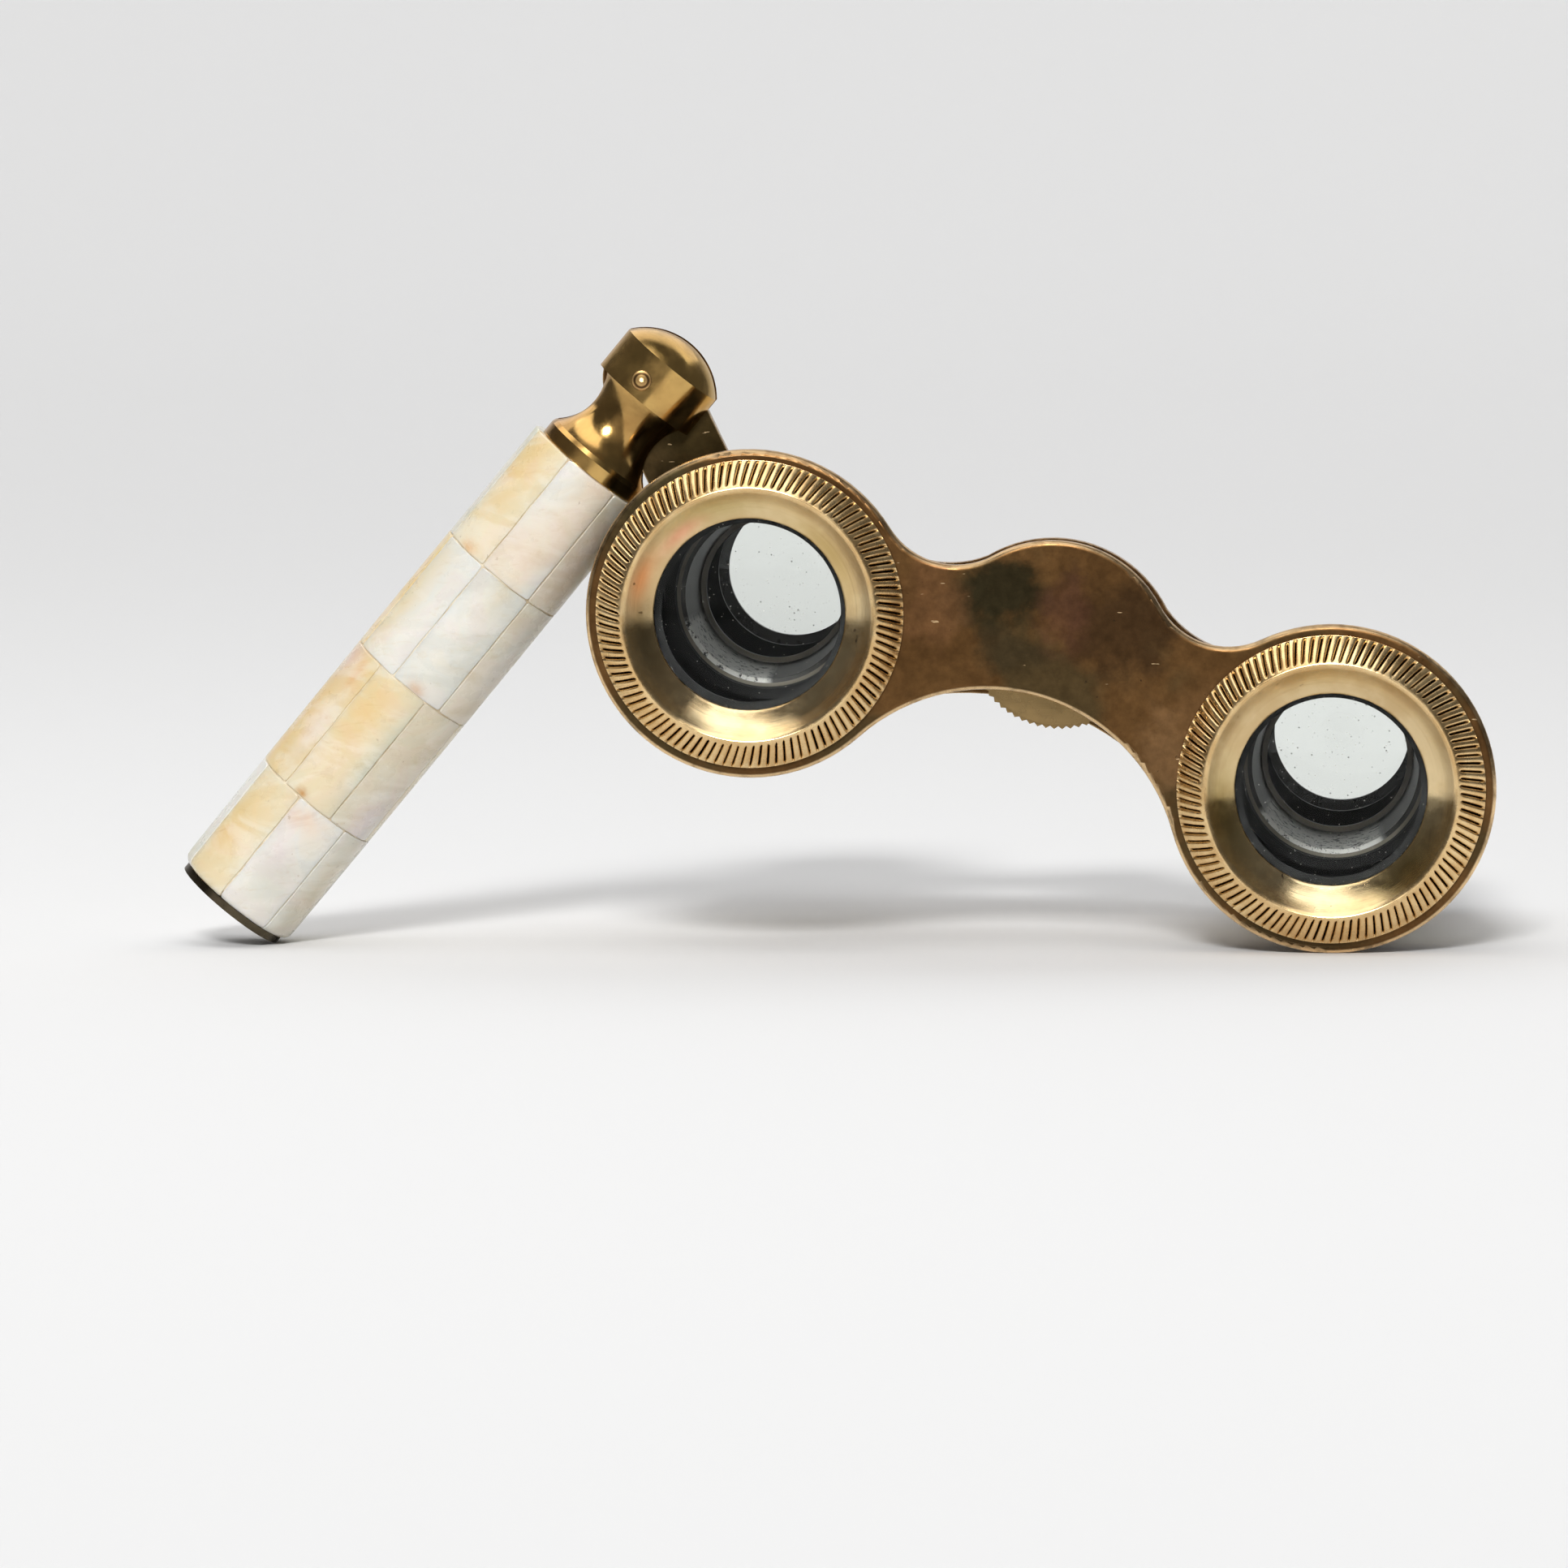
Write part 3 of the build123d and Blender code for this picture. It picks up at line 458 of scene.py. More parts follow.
def pin_brass(pin):
    """Brass of the hinge pin, with painted shade in the groove round its end and along its rim."""
    n = Nodes("pin_brass")
    low = Vector([min(v.co[axis] for v in pin.data.vertices) for axis in range(3)])
    high = Vector([max(v.co[axis] for v in pin.data.vertices) for axis in range(3)])
    radius = (high.x - low.x) / 2
    apart = n.vector("SUBTRACT", n.place, (low + high) / 2)
    out = n.length(n.vector("MULTIPLY", apart, (1 / radius, 0, 1 / radius)))
    # Painted shade: the groove round the pin's end and its rim are painted a deep brown.
    groove = n.maths("MULTIPLY", n.grey(out, 0.52, 0.62), n.grey(out, 0.86, 0.74))
    rim = n.grey(out, 0.90, 1.0)
    painted_groove_shade = n.maths("MAXIMUM", groove, rim)
    colour = n.mix(n.grey(n.noise(1.0, 4.0), 0.4, 0.7), (0.60, 0.38, 0.15), (0.40, 0.22, 0.09))
    colour = n.mix(painted_groove_shade, colour, (0.10, 0.055, 0.022))
    n.bump(painted_groove_shade, -0.6, 0.08)
    return n.set(Base_Color=colour, Metallic=1.0, Roughness=0.30)


def steel():
    n = Nodes("steel")
    rust = n.grey(n.noise(0.6, 6.0, 0.65), 0.52, 0.70, 0.0, 0.7)
    colour = n.mix(rust, (0.42, 0.40, 0.38), (0.16, 0.075, 0.035))
    n.bump(n.noise(1.4, 5.0, 0.7, stretch=(1.0, 0.1, 1.0)), 0.2, 0.02)
    return n.set(Base_Color=colour, Metallic=1.0, Roughness=n.grey(n.noise(1.1), 0.3, 0.7, 0.25, 0.5))


def lens_glass(name, bends):
    """Clear old glass with dust on its face. Glass that bends light is clear to shadow rays."""
    n = Nodes(name)
    tree = n.tree
    output = tree.nodes["Material Output"]
    tree.nodes.remove(n.shader)
    clear = n.node("ShaderNodeBsdfTransparent", {"Color": (0.96, 0.97, 0.96, 1)})
    if bends:
        crown = {"Color": (0.98, 0.99, 0.98, 1), "IOR": 1.52, "Roughness": 0.0}
        through = n.node("ShaderNodeBsdfRefraction", crown)
        mirror = n.node("ShaderNodeBsdfGlossy", {"Color": (0.9, 0.9, 0.92, 1), "Roughness": 0.0})
        fresnel = n.node("ShaderNodeFresnel", {"IOR": 1.45})
        solid = n.node("ShaderNodeMixShader", {0: n.maths("MULTIPLY", fresnel.outputs[0], 0.2)})
        n.link(through.outputs[0], solid.inputs[1])
        n.link(mirror.outputs[0], solid.inputs[2])
        share = n.node("ShaderNodeLightPath").outputs["Is Shadow Ray"]
        body = n.node("ShaderNodeMixShader", {0: share})
        n.link(solid.outputs[0], body.inputs[1])
        n.link(clear.outputs[0], body.inputs[2])
    else:
        mirror = n.node("ShaderNodeBsdfGlossy", {"Color": (0.9, 0.9, 0.92, 1), "Roughness": 0.015})
        fresnel = n.node("ShaderNodeFresnel", {"IOR": 1.45})
        body = n.node("ShaderNodeMixShader", {0: n.maths("MULTIPLY", fresnel.outputs[0], 0.8)})
        n.link(clear.outputs[0], body.inputs[1])
        n.link(mirror.outputs[0], body.inputs[2])
    dust = n.node("ShaderNodeBsdfDiffuse", {"Color": (0.55, 0.53, 0.49, 1)})
    grains = n.node("ShaderNodeTexVoronoi", {"Vector": n.place, "Scale": 1.9 / MM, "Randomness": 1.0})
    dots = n.grey(grains.outputs["Distance"], 0.15, 0.07)
    few = n.grey(n.noise(1.1, 2.0, 0.5), 0.46, 0.60)
    cover = n.maths("MULTIPLY", n.maths("MULTIPLY", dots, few), 0.7)
    both = n.node("ShaderNodeMixShader", {0: cover})
    n.link(body.outputs[0], both.inputs[1])
    n.link(dust.outputs[0], both.inputs[2])
    n.link(both.outputs[0], output.inputs["Surface"])
    return n.material


# Clouds of tarnish on the front plate: place in the frame of the glasses, reach, strength, colour
PLATE_CLOUDS = (
    ((-7.0, 3.0, 0.0), (7.0, 6.0, 4.0), 0.95, (0.033, 0.027, 0.013)),
    ((-5.0, -3.0, 0.0), (4.0, 6.0, 2.6), 0.75, (0.055, 0.039, 0.019)),
    ((6.0, 3.0, 0.0), (6.5, 6.0, 6.0), 0.80, (0.058, 0.031, 0.014)),
    ((-0.5, 3.0, 0.0), (3.0, 6.0, 4.0), 0.60, (0.125, 0.055, 0.031)),
    ((-13.5, 0.0, 0.0), (3.5, 6.0, 5.0), 0.70, (0.195, 0.094, 0.039)),
    ((18.0, -5.0, 0.0), (7.0, 6.0, 5.0), 0.70, (0.203, 0.105, 0.041)),
    ((14.0, -8.0, 0.0), (3.0, 6.0, 4.0), 0.50, (0.265, 0.148, 0.066)),
    ((31.0, -23.0, 0.0), (9.0, 6.0, 2.5), 0.80, (0.060, 0.040, 0.018)),
    ((-44.0, 2.0, 0.0), (5.0, 6.0, 14.0), 0.70, (0.080, 0.064, 0.030)),
    ((-43.0, 10.0, -8.0), (6.0, 6.0, 7.0), 0.85, (0.052, 0.039, 0.015)),
)

AGED = aged_plate()
POLISHED = bezel_brass()
BRIGHT = brass(
    "bright_brass", (0.66, 0.435, 0.148), (0.3, 0.195, 0.07), (0.54, 0.27, 0.078), 0.45, 0.17, 0.12
)
WHEEL = brass("wheel_brass", (0.34, 0.23, 0.10), (0.15, 0.10, 0.045), (0.20, 0.11, 0.05), 0.55, 0.27, 0.2)
PIN = pin_brass(nodes["hinge_pin"])
DARK_CAP = brass("dark_cap", (0.11, 0.09, 0.058), (0.045, 0.038, 0.026), (0.08, 0.055, 0.03), 0.5, 0.3, 0.2)
CORE = brass("barrel_brass", (0.55, 0.38, 0.17), (0.22, 0.15, 0.07), (0.30, 0.14, 0.07), 0.5, 0.32, 0.2)
PEARL = pearl()
CEMENT = cement()
BLACK = black_metal()
HORN = black_horn()
STEEL = steel()
GLASS = lens_glass("glass", True)
EYE_GLASS = lens_glass("eye_glass", False)
FUNNEL = funnel_metal()

# --- Bezels --------------------------------------------------------------------------

KNURL_SKEW = math.radians(2.7)
TOOTH_DEPTH = 0.46
SAMPLES_PER_TOOTH = 8
KNURL_ROWS = 16
KNURL_FOOT = 0.42
KNURL_BULGE = 0.16
DISH_ROWS = 10
DISH_FLOOR = 0.62
DISH_HOLLOW = 0.20


def bezel_profile():
    """Closed (radius, height, zone) outline: sleeve, foot bead, knurl, rim, dish and seat."""
    points = [(BEZEL_SEAT_RADIUS, -SLEEVE_LENGTH, "plain"), (SLEEVE_RADIUS, -SLEEVE_LENGTH, "plain")]
    points += [(SLEEVE_RADIUS, 0.02, "plain"), (15.55, 0.02, "plain")]
    points += [(15.84, 0.06, "bead"), (15.93, 0.16, "bead"), (15.90, 0.27, "bead"), (15.72, 0.34, "bead")]
    points += [(15.60, 0.37, "plain")]
    for row in range(KNURL_ROWS + 1):
        share = row / KNURL_ROWS
        radius = BEZEL_FOOT_RADIUS + (BEZEL_RIM_RADIUS + 0.12 - BEZEL_FOOT_RADIUS) * share
        height = KNURL_FOOT + (BEZEL_HEIGHT - 0.10 - KNURL_FOOT) * share
        height += KNURL_BULGE * math.sin(math.pi * share)
        points.append((radius, height, "knurl"))
    points += [(13.22, 2.96, "rim"), (13.10, 3.0, "rim"), (12.98, 2.98, "rim"), (12.88, 2.92, "rim")]
    for row in range(1, DISH_ROWS + 1):
        share = row / DISH_ROWS
        radius = DISH_EDGE_RADIUS + (OPENING_RADIUS + 0.05 - DISH_EDGE_RADIUS) * share
        height = 2.90 + (DISH_FLOOR - 2.90) * share - DISH_HOLLOW * math.sin(math.pi * share)
        points.append((radius, height, "dish"))
    points += [(OPENING_RADIUS, 0.55, "lip"), (OPENING_RADIUS, 0.10, "lip")]
    points += [(OPENING_RADIUS + 0.05, 0.0, "lip"), (BEZEL_SEAT_RADIUS, 0.0, "plain")]
    return points


# Stains on each dish: clock position (0 to 12), share of the way in, spread in hours,
# width as a share of the dish, colour
DISH_STAINS = {
    "left": [
        (10.6, 0.45, 0.9, 0.45, (0.88, 0.96, 0.82)),
        (10.1, 0.65, 0.5, 0.25, (1.15, 0.80, 0.85)),
        (9.0, 0.40, 0.5, 0.30, (1.10, 0.62, 0.45)),
        (8.1, 0.55, 0.8, 0.60, (0.42, 0.40, 0.34)),
        (1.2, 0.75, 0.9, 0.35, (0.80, 0.78, 0.62)),
    ],
    "right": [
        (8.0, 0.50, 1.0, 0.70, (0.55, 0.52, 0.36)),
        (4.0, 0.50, 0.9, 0.70, (0.58, 0.54, 0.38)),
        (11.2, 0.30, 0.7, 0.30, (0.92, 0.90, 0.80)),
    ],
}


def bezel(side):
    profile = bezel_profile()
    steps = BEZEL_TEETH * SAMPLES_PER_TOOTH
    ragged = [rng.uniform(-0.05, 0.05) for _ in range(BEZEL_TEETH)]
    dents = [rng.uniform(0.75, 1.15) for _ in range(BEZEL_TEETH)]
    knurl_start = next(i for i, point in enumerate(profile) if point[2] == "knurl")
    knurl_end = knurl_start + KNURL_ROWS

    def groove(row, turn):
        """1 at the bottom of a groove, 0 on the back of a ridge."""
        if profile[row][2] != "knurl":
            return 0.0
        share = (row - knurl_start) / (knurl_end - knurl_start)
        phase = turn / (2 * math.pi) * BEZEL_TEETH
        tooth = int(phase) % BEZEL_TEETH
        inside = abs(2 * (phase % 1.0) - 1)
        end = ragged[tooth]
        ends = smooth_step(0.0, 0.08, share) * smooth_step(0.99 + end, 0.86 + end, share)
        return inside**4 * ends * dents[tooth]

    def shift(row, radius, height, turn):
        depth = groove(row, turn) * TOOTH_DEPTH
        share = (row - knurl_start) / (knurl_end - knurl_start)
        skewed = turn + KNURL_SKEW * min(1.0, max(0.0, share))
        if profile[row][2] == "knurl":
            return radius - depth * 0.7, height - depth * 0.7, skewed
        wobble = 0.012 * math.sin(turn * 9 + radius) + 0.008 * math.sin(turn * 23)
        return radius, height + (wobble if profile[row][2] in ("rim", "dish") else 0.0), skewed

    bm = surface_of_turning([(r, h) for r, h, _ in profile], steps, shift, closed=True)
    marks = {"radius": [], "groove": [], "dish": [], "stain": []}
    degrees_per_hour = 30.0
    for index, vertex in enumerate(bm.verts):
        row, step = divmod(index, steps)
        zone = profile[row][2]
        radius = math.hypot(vertex.co.x, vertex.co.y)
        hours = (3 - math.degrees(math.atan2(vertex.co.y, vertex.co.x)) / degrees_per_hour) % 12
        inward = (DISH_EDGE_RADIUS - radius) / (DISH_EDGE_RADIUS - OPENING_RADIUS)
        marks["radius"].append(radius)
        marks["groove"].append(groove(row, 2 * math.pi * step / steps))
        marks["dish"].append(1.0 if zone == "dish" else 0.0)
        colour = Vector((1, 1, 1))
        for clock, share, spread, width, tint in DISH_STAINS[side]:
            apart = abs((hours - clock + 6) % 12 - 6) / spread
            across = abs(inward - share) / width
            colour = colour.lerp(Vector(tint), math.exp(-(apart**2) - across**2))
        marks["stain"].append(tuple(colour))
    replaced = [side + "_bezel"]
    name = side + "_bezel_ring"
    make_piece(name, bm, BARRELS[side], "frame", POLISHED, replaced, sharp=50, marks=marks)


# --- Inside the barrels ---------------------------------------------------------------


def dome(radius, edge, bulge, count):
    """Points of a spherical cap from its edge to its middle."""
    ball = (radius**2 + bulge**2) / (2 * bulge)
    points = []
    for step in range(count + 1):
        r = radius * (1 - step / count)
        points.append((r, edge + bulge - ball + math.sqrt(ball**2 - r**2)))
    return points


LENS_RADIUS = 11.4
LENS_EDGE = -0.26
LENS_BULGE = 0.53
LENS_THICKNESS = 3.0
LENS_ROWS = 14


def objective_lens(side):
    """A lens that bulges equally on both sides and fills the outline of the CAD lens."""
    front = dome(LENS_RADIUS, LENS_EDGE, LENS_BULGE, LENS_ROWS)
    back = [(r, 2 * LENS_EDGE - LENS_THICKNESS - height) for r, height in reversed(front)]
    bm = surface_of_turning(back + front, ROUND_STEPS)
    make_piece(side + "_lens_glass", bm, BARRELS[side], "frame", GLASS, [side + "_objective_lens"])


# Where each funnel's cone gets a painted pool of light, as angles round its axis
LIT_CRESCENTS = {"left": (212.0, 290.0), "right": (226.0, 322.0)}
FUNNEL_RADIUS = 7.99
FUNNEL_MOUTH = 7.15
FUNNEL_THROAT = 6.0
FUNNEL_HOLE = 5.55
FUNNEL_DEPTH = 7.5
FUNNEL_ROWS = 12


def light_funnel(side):
    """Zone 0 is the cone, 0.5 its lip and 1 everything behind."""
    front = (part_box(side + "_light_stop")[0].y / MM - PLATE_FACE / MM) * -1
    low = front - FUNNEL_DEPTH
    outline = [(FUNNEL_RADIUS, front, 1.0), (FUNNEL_MOUTH + 0.05, front, 0.0)]
    outline.append((FUNNEL_MOUTH - 0.03, front - 0.05, 0.0))
    for row in range(1, FUNNEL_ROWS + 1):
        radius = FUNNEL_MOUTH + (FUNNEL_THROAT - FUNNEL_MOUTH) * row / FUNNEL_ROWS
        outline.append((radius, front - FUNNEL_DEPTH * row / FUNNEL_ROWS, 0.0))
    outline += [(FUNNEL_THROAT, low - 0.02, 0.5), (FUNNEL_HOLE + 0.03, low - 0.05, 0.5)]
    outline += [(FUNNEL_HOLE, low - 0.10, 0.5), (FUNNEL_HOLE, low - 0.25, 1.0)]
    outline += [(FUNNEL_HOLE, low - 0.65, 1.0), (FUNNEL_RADIUS, low - 0.65, 1.0)]
    steps = ROUND_STEPS
    bm = surface_of_turning([(r, h) for r, h, _ in outline], steps, closed=True)
    first, last = (math.radians(angle) for angle in LIT_CRESCENTS[side])
    marks = {"zone": [], "lit_crescent": []}
    for index in range(len(bm.verts)):
        row, step = divmod(index, steps)
        turn = 2 * math.pi * step / steps
        # The painted pool of light: a crescent between the listed angles, fading out towards the back of
        # the cone.
        inside = smooth_step(first, first + 0.10, turn) * smooth_step(last, last - 0.10, turn)
        marks["zone"].append(outline[row][2])
        marks["lit_crescent"].append(inside * smooth_step(16.0, 9.0, row))
    replaced = [side + "_light_stop"]
    name = side + "_light_funnel"
    make_piece(name, bm, BARRELS[side], "eyepieces", FUNNEL, replaced, sharp=50, marks=marks)


# --- Mother-of-pearl tiles ------------------------------------------------------------

EDGE_ROUND = 0.09
CORNER_ROUND = 0.30
CREAM = (0.77, 0.66, 0.46)
YELLOW = (0.77, 0.58, 0.30)
WHITE = (0.76, 0.74, 0.69)
SILVER = (0.67, 0.66, 0.60)
PEACH = (0.76, 0.65, 0.51)
BEIGE = (0.67, 0.60, 0.46)
LILAC = (0.69, 0.64, 0.63)
ROSE = (0.74, 0.55, 0.43)
SAGE = (0.60, 0.58, 0.45)
RUST = (0.52, 0.25, 0.07)
AMBER = (0.74, 0.43, 0.18)
SHELL_COLOURS = (CREAM, WHITE, SILVER, PEACH, BEIGE, LILAC, SAGE, CREAM)

# The tiles that face the viewer. Each has a ground colour and spots:
# (across, down, width, height, colour), across and down from 0 to 1
FACING_TILES = {
    (0, 6): (CREAM, [(0.3, 0.2, 0.5, 0.6, YELLOW), (0.6, 0.97, 0.22, 0.07, AMBER)]),
    (0, 0): (PEACH, [(0.1, 0.1, 0.45, 0.6, WHITE), (0.95, 0.9, 0.25, 0.3, SILVER)]),
    (0, 1): (BEIGE, [(0.3, 0.5, 0.4, 0.5, PEACH)]),
    (1, 5): (YELLOW, []),
    (1, 6): (WHITE, [(0.1, 0.6, 0.4, 0.8, CREAM)]),
    (1, 0): (
        SILVER,
        [(0.5, 0.05, 0.22, 0.28, BEIGE), (0.42, 0.97, 0.20, 0.06, RUST), (0.2, 0.5, 0.4, 0.5, WHITE)],
    ),
    (1, 1): (BEIGE, [(0.5, 0.4, 0.4, 0.5, SILVER)]),
    (2, 5): (YELLOW, []),
    (2, 6): (
        YELLOW,
        [(0.2, 0.1, 0.5, 0.2, ROSE), (0.72, 0.16, 0.12, 0.13, AMBER), (0.8, 0.6, 0.3, 0.4, PEACH)],
    ),
    (2, 0): (
        CREAM,
        [(1.0, 0.5, 0.3, 0.7, SAGE), (0.3, 0.3, 0.5, 0.4, YELLOW), (0.35, 0.98, 0.12, 0.03, RUST)],
    ),
    (2, 1): (BEIGE, [(0.7, 0.9, 0.5, 0.35, LILAC)]),
    (3, 6): (CREAM, [(0.3, 0.5, 0.5, 0.5, YELLOW)]),
    (3, 0): (
        WHITE,
        [(0.3, 0.12, 0.5, 0.14, ROSE), (0.5, 0.6, 0.5, 0.4, SILVER), (0.3, 0.4, 0.3, 0.2, LILAC)],
    ),
    (3, 1): (SILVER, [(0.5, 0.5, 0.5, 0.6, BEIGE)]),
}


def edge_spacing(length):
    """Positions along an edge: close together at both ends, wide in the middle."""
    ends = [0.0, 0.035, 0.08, 0.14, 0.26, 0.42, 0.62]
    wide_step = 0.55
    rest = length - 2 * ends[-1]
    middle_count = max(4, int(rest / wide_step))
    inner = [ends[-1] + rest * i / middle_count for i in range(1, middle_count)]
    return ends + inner + [length - end for end in reversed(ends)]


def add_tile(bm, marks, radius_at, top, bottom, start, end, inner, ground, spots):
    """One tile: a rounded, slightly uneven patch of a turned surface with walls down to inner."""
    mean = radius_at((top + bottom) / 2)
    width = (end - start) * mean
    height = top - bottom
    across = edge_spacing(width)
    down = edge_spacing(height)
    offset = Vector((rng.uniform(-1, 1), rng.uniform(-1, 1), rng.uniform(-1, 1)))
    lift = rng.uniform(-0.03, 0.03)
    tilt = rng.uniform(-0.025, 0.025)
    whole_turn = 6.28
    wave = [rng.uniform(0, whole_turn) for _ in range(4)]
    reach = [rng.uniform(0.01, 0.035) for _ in range(4)]

    def place(u, v, drop):
        uneven_left = reach[0] * (1 + math.sin(v * 1.3 + wave[0])) * (1 - u / width)
        uneven_right = reach[1] * (1 + math.sin(v * 1.1 + wave[1])) * (u / width)
        uneven_top = reach[2] * (1 + math.sin(u * 1.4 + wave[2])) * (1 - v / height)
        uneven_low = reach[3] * (1 + math.sin(u * 1.2 + wave[3])) * (v / height)
        turn = start + (u + uneven_left - uneven_right) / mean
        level = top - v - uneven_top + uneven_low
        radius = inner if drop is None else radius_at(level) - drop + lift + tilt * (u / width - 0.5)
        return (radius * math.cos(turn), radius * math.sin(turn), level)

    def soften(u, v):
        """Pulls the points near a corner onto its curve; also gives the distance to the edge."""
        cu = u if u < width / 2 else width - u
        cv = v if v < height / 2 else height - v
        if cu < CORNER_ROUND and cv < CORNER_ROUND:
            du, dv = CORNER_ROUND - cu, CORNER_ROUND - cv
            far = max(du, dv)
            length = math.hypot(du, dv)
            du, dv = du / length * far, dv / length * far
            cu, cv = CORNER_ROUND - du, CORNER_ROUND - dv
            edge = CORNER_ROUND - far
        else:
            edge = min(cu, cv)
        return (cu if u < width / 2 else width - cu), (cv if v < height / 2 else height - cv), edge

    def new_vertex(u, v, drop):
        vertex = bm.verts.new(place(u, v, drop))
        colour = Vector(ground)
        for spot_u, spot_v, spot_width, spot_height, spot_colour in spots:
            away = ((u / width - spot_u) / spot_width) ** 2 + ((v / height - spot_v) / spot_height) ** 2
            colour = colour.lerp(Vector(spot_colour), math.exp(-away * 1.6))
        marks["tint"].append(tuple(colour))
        marks["tile"].append(tuple(offset))
        return vertex

    grid = []
    for v in down:
        line = []
        for u in across:
            su, sv, edge = soften(u, v)
            bite = max(0.0, EDGE_ROUND - edge)
            line.append(new_vertex(su, sv, EDGE_ROUND - math.sqrt(max(0.0, EDGE_ROUND**2 - bite**2))))
        grid.append(line)
    for upper, lower in zip(grid, grid[1:]):
        for a, b, c, d in zip(upper, upper[1:], lower[1:], lower):
            bm.faces.new((a, b, c, d))
    last_u = len(across) - 1
    last_v = len(down) - 1
    walk = [(0, i) for i in range(last_u + 1)] + [(j, last_u) for j in range(1, last_v + 1)]
    walk += [(last_v, i) for i in range(last_u - 1, -1, -1)] + [(j, 0) for j in range(last_v - 1, 0, -1)]
    rim = [grid[j][i] for j, i in walk]
    foot = []
    for j, i in walk:
        su, sv, _ = soften(across[i], down[j])
        foot.append(new_vertex(su, sv, None))
    for a in range(len(rim)):
        b = (a + 1) % len(rim)
        bm.faces.new((rim[a], rim[b], foot[b], foot[a]))
    bm.faces.new(foot)


def chance_spot():
    """A spot of another shell colour at a random place of a tile."""
    place = (rng.random(), rng.random())
    size = (rng.uniform(0.2, 0.6), rng.uniform(0.2, 0.6))
    return (*place, *size, rng.choice(SHELL_COLOURS))


def tile_ring(name, place, body, replaced, row, radius_at, top, bottom, seam, count, inner, looks):
    bm = bmesh.new()
    marks = {"tint": [], "tile": []}
    step = 2 * math.pi / count
    gap = TILE_GAP / radius_at(top)
    for index in range(count):
        ground, spots = looks.get((row, index), (None, None))
        if ground is None:
            ground = rng.choice(SHELL_COLOURS)
            spots = [chance_spot() for _ in range(3)]
        start = seam + index * step + gap / 2
        add_tile(bm, marks, radius_at, top, bottom, start, start + step - gap, inner, ground, spots)
    make_piece(name, bm, place, body, PEARL, [replaced], sharp=60, marks=marks)


def grip_radius(height):
    """The grip is thickest near its middle and a little thinner at both ends."""
    share = -height / GRIP_LENGTH
    return GRIP_RADIUS - 0.15 * (1 - share) ** 2 - 0.22 * share**3


def grip_surface(height):
    """The grip's outline with its rounded lower end."""
    above_end = GRIP_LENGTH + height
    end_round = 0.9
    bite = max(0.0, end_round - above_end)
    return grip_radius(height) - (end_round - math.sqrt(max(0.0, end_round**2 - bite**2)))


def handle_tiles():
    high = 0.0
    for row, (share, seam) in enumerate(zip(ROW_SHARES, ROW_TURNS)):
        low = high - share * GRIP_LENGTH
        top = high - (0.01 if row == 0 else TILE_GAP / 2)
        bottom = low + (0.01 if row == len(ROW_SHARES) - 1 else TILE_GAP / 2)
        tile_ring(
            f"pearl_tiles_{row + 1}", HANDLE, "handle", f"pearl_row_{row + 1}", row,
            grip_surface, top, bottom, math.radians(seam - 90),
            HANDLE_TILES, CORE_RADIUS + 0.05, FACING_TILES,
        )
        high = low


def barrel_tiles(side):
    length = HANDLE_PLATE_BACK - REAR_PLATE_FRONT

    def surface(height):
        share = (HANDLE_PLATE_BACK - height) / length
        return BED_FRONT_RADIUS + (BED_REAR_RADIUS - BED_FRONT_RADIUS) * share + TILE_THICKNESS

    top = HANDLE_PLATE_BACK - 0.02
    bottom = REAR_PLATE_FRONT + 0.02
    half = (top + bottom) / 2
    rows = (("front", top, half + TILE_GAP / 2), ("rear", half - TILE_GAP / 2, bottom))
    for number, (name, high, low) in enumerate(rows):
        seam = math.pi / BARREL_TILES * number
        inner = surface(low) - TILE_THICKNESS + 0.4
        tile_ring(
            f"{side}_{name}_tiles", BARRELS[side], "frame", f"{side}_barrel_pearl_{name}", number,
            surface, high, low, seam,
            BARREL_TILES, inner, {},
        )


for side in ("left", "right"):
    bezel(side)
    objective_lens(side)
    light_funnel(side)
    barrel_tiles(side)
handle_tiles()

# --- CAD pieces that are shown as they are --------------------------------------------

for name in ("objective_plate", "handle_plate", "eyepiece_plate", "ocular_bridge"):
    finish_node(name, AGED, bevel=0.14)
for name in ("focus_wheel", "spindle"):
    finish_node(name, WHEEL)
finish_node("hinge_head", BRIGHT, bevel=0.10)
finish_node("end_cap", DARK_CAP, bevel=0.06)
finish_node("hinge_pin", PIN, bevel=0.12)
for name in ("centre_column", "bridge_screw", "spindle_bush"):
    finish_node(name, WHEEL)
for name in ("focus_nut", "wheel_pin", "hinge_washers"):
    finish_node(name, STEEL)
finish_node("handle_core", CORE)
finish_node("handle_cement", CEMENT)
for side in ("left", "right"):
    finish_node(side + "_barrel", BLACK)
    finish_node(side + "_barrel_cement", CEMENT)
    finish_node(side + "_draw_tube", BLACK)
    finish_node(side + "_objective_retainer", BLACK)
    finish_node(side + "_eye_lens_retainer", BLACK)
    finish_node(side + "_eyecup", HORN)
    finish_node(side + "_eye_lens", EYE_GLASS)

# --- Stage: floor, backdrop, lights and camera ----------------------------------------


def stage_material():
    n = Nodes("stage")
    return n.set(Base_Color=(0.80, 0.80, 0.80), Roughness=0.9, Specular_IOR_Level=0.1)


FLOOR_FRONT = -0.46
FLOOR_BACK = 1.2
BEND_RADIUS = 0.8
BEND_STEPS = 16
BACKDROP_TOP = 2.4
HALF_WIDTH = 2.2


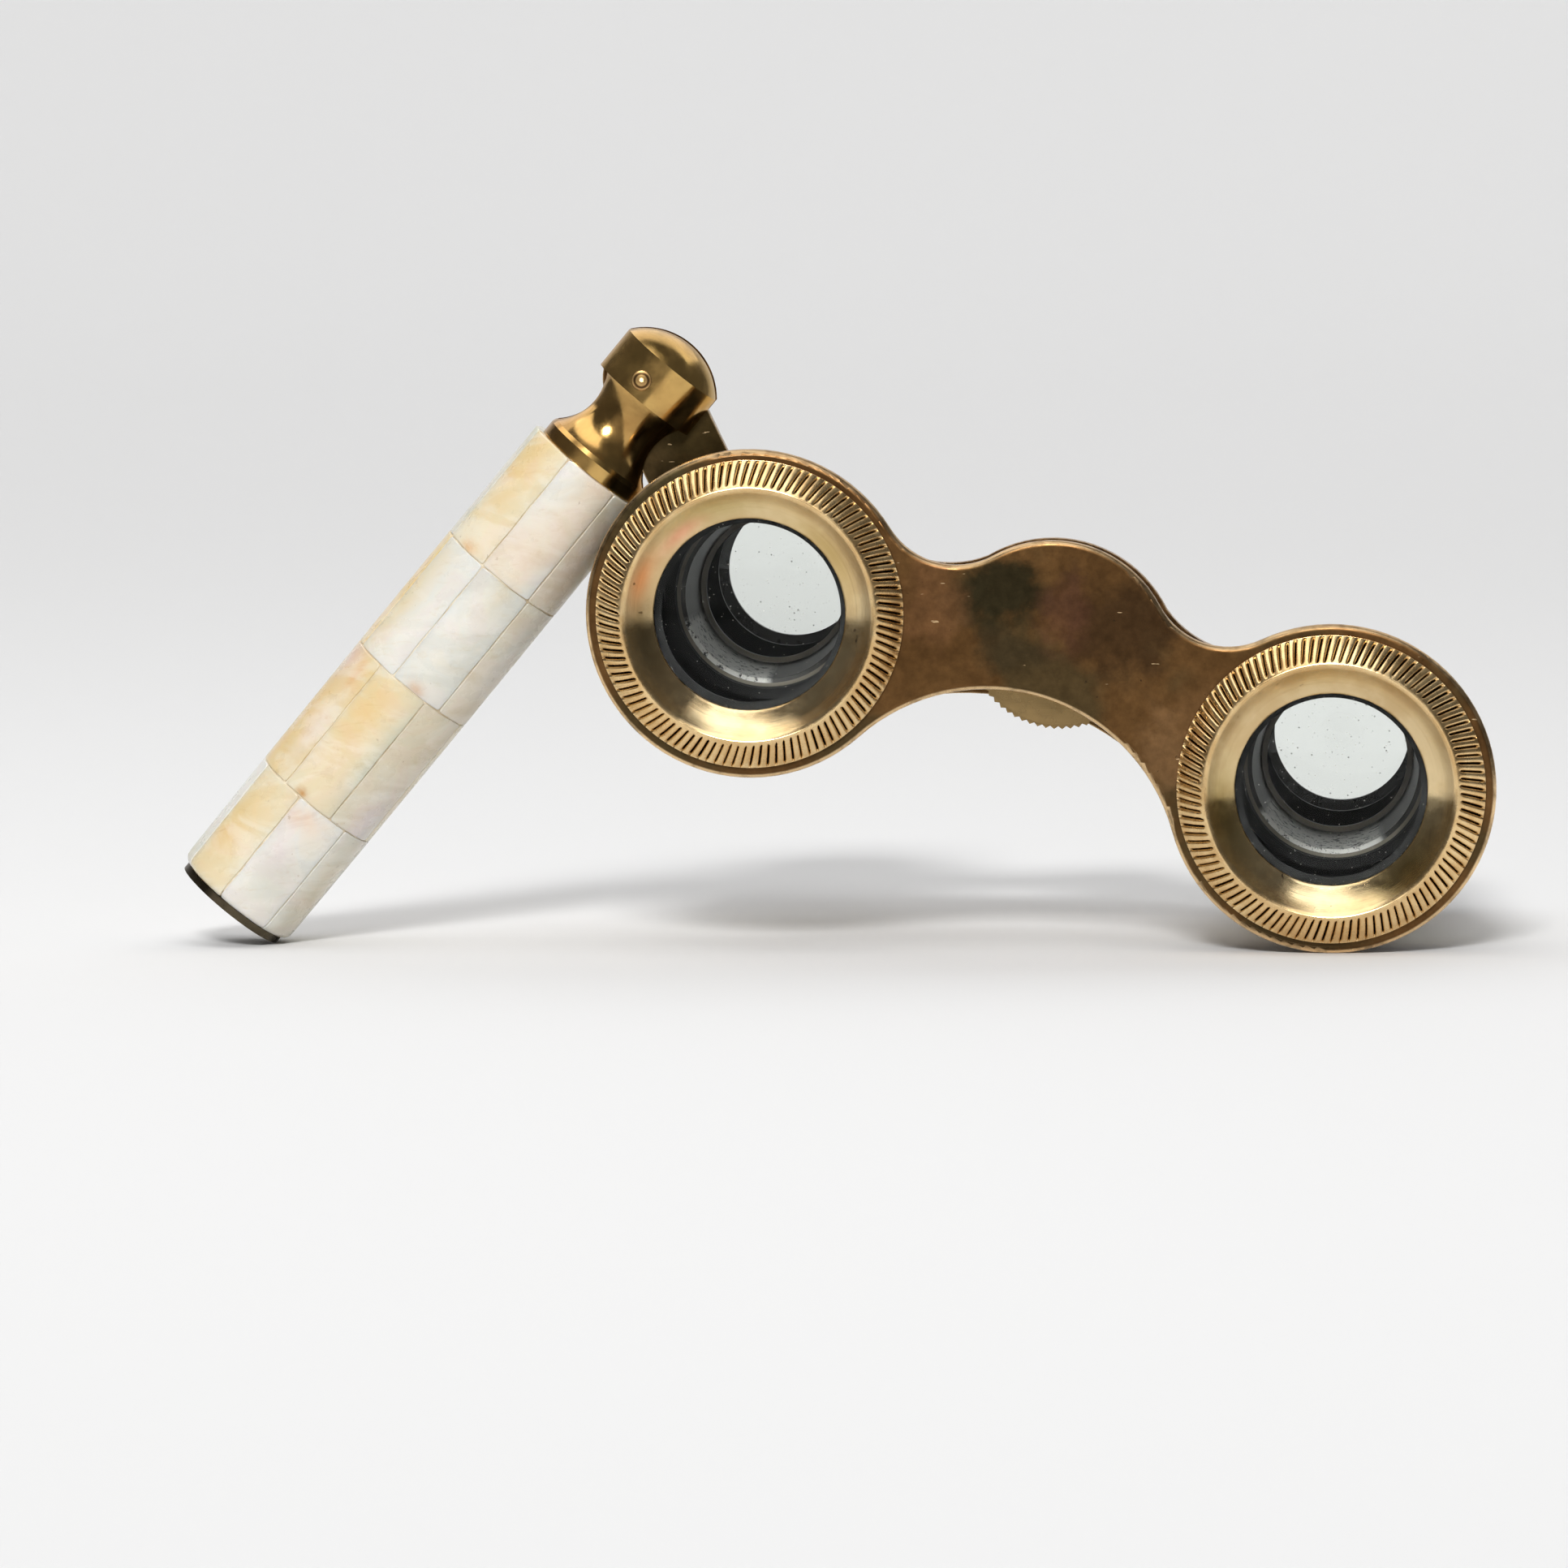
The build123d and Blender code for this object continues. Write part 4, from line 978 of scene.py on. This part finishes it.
def backdrop():
    """A pale sheet: a floor that ends in front of the object and curves up behind it."""
    line = [(FLOOR_FRONT, 0.0), (0.0, 0.0), (FLOOR_BACK, 0.0)]
    for step in range(1, BEND_STEPS + 1):
        turn = math.pi / 2 * step / BEND_STEPS
        line.append((FLOOR_BACK + BEND_RADIUS * math.sin(turn), BEND_RADIUS * (1 - math.cos(turn))))
    line.append((FLOOR_BACK + BEND_RADIUS, BACKDROP_TOP))
    bm = bmesh.new()
    rows = [[bm.verts.new((x, y, z)) for x in (-HALF_WIDTH, HALF_WIDTH)] for y, z in line]
    for a, b in zip(rows, rows[1:]):
        bm.faces.new((a[0], a[1], b[1], b[0]))
    mesh = bpy.data.meshes.new("backdrop")
    bm.to_mesh(mesh)
    bm.free()
    mesh.polygons.foreach_set("use_smooth", [True] * len(mesh.polygons))
    mesh.materials.append(stage_material())
    sheet = bpy.data.objects.new("backdrop", mesh)
    bpy.context.scene.collection.objects.link(sheet)


def softbox(name, place, target, width, depth, watts):
    """A rectangular lamp at a place in metres that shines on its target."""
    light = bpy.data.lights.new(name, "AREA")
    light.shape = "RECTANGLE"
    light.size = width
    light.size_y = depth
    light.energy = watts
    lamp = bpy.data.objects.new(name, light)
    bpy.context.scene.collection.objects.link(lamp)
    lamp.location = place
    lamp.rotation_euler = (Vector(target) - Vector(place)).to_track_quat("-Z", "Y").to_euler()


def world():
    """Dim even light, stronger from the directions around the camera."""
    made = bpy.data.worlds.new("studio")
    made.use_nodes = True
    tree = made.node_tree
    towards = tree.nodes.new("ShaderNodeTexCoord").outputs["Generated"]
    parts = tree.nodes.new("ShaderNodeSeparateXYZ")
    tree.links.new(towards, parts.inputs[0])
    ramp = tree.nodes.new("ShaderNodeMapRange")
    ramp.interpolation_type = "SMOOTHSTEP"
    tree.links.new(parts.outputs["Y"], ramp.inputs["Value"])
    for label, value in (("From Min", -0.70), ("From Max", -0.97), ("To Min", 0.10), ("To Max", 0.26)):
        ramp.inputs[label].default_value = value
    tree.links.new(ramp.outputs["Result"], tree.nodes["Background"].inputs["Strength"])
    tree.nodes["Background"].inputs["Color"].default_value = (1.0, 0.98, 0.96, 1)
    bpy.context.scene.world = made


backdrop()
softbox("top_light", (-0.08, -0.10, 0.62), (0, -0.02, 0), width=0.9, depth=0.34, watts=1.9)
softbox("key_light", (-0.15, -2.1, 1.5), (0, 0.0, 0.02), width=0.55, depth=0.55, watts=47.0)
softbox("backdrop_light", (0.0, 1.2, 1.2), (0, 1.1, 0.0), width=3.0, depth=1.4, watts=15.0)
world()


CAMERA_AZIMUTH = math.radians(3.8)
CAMERA_ELEVATION = math.radians(4.8)
CAMERA_ROLL = math.radians(-0.265)
CAMERA_DISTANCE = 1.15
CAMERA_TARGET = Vector((-6.54, 0.0, 15.51)) * MM
FOCAL_LENGTH = 250.34


def camera():
    """A long lens a little to the right of the optical axes and a little above the floor."""
    level = math.cos(CAMERA_ELEVATION)
    side_dir = Vector((math.cos(CAMERA_AZIMUTH), math.sin(CAMERA_AZIMUTH), 0))
    back = Vector((side_dir.y * level, -side_dir.x * level, math.sin(CAMERA_ELEVATION)))
    lens = bpy.data.cameras.new("camera")
    lens.sensor_width = 36.0
    lens.lens = FOCAL_LENGTH
    lens.clip_start = 0.01
    lens.clip_end = 20.0
    view = bpy.data.objects.new("camera", lens)
    bpy.context.scene.collection.objects.link(view)
    turn = Matrix((side_dir, back.cross(side_dir), back)).transposed().to_4x4()
    stand = Matrix.Translation(CAMERA_TARGET + back * CAMERA_DISTANCE)
    view.matrix_world = stand @ turn @ Matrix.Rotation(CAMERA_ROLL, 4, "Z")
    bpy.context.scene.camera = view


camera()
bpy.context.scene.view_settings.view_transform = "Standard"
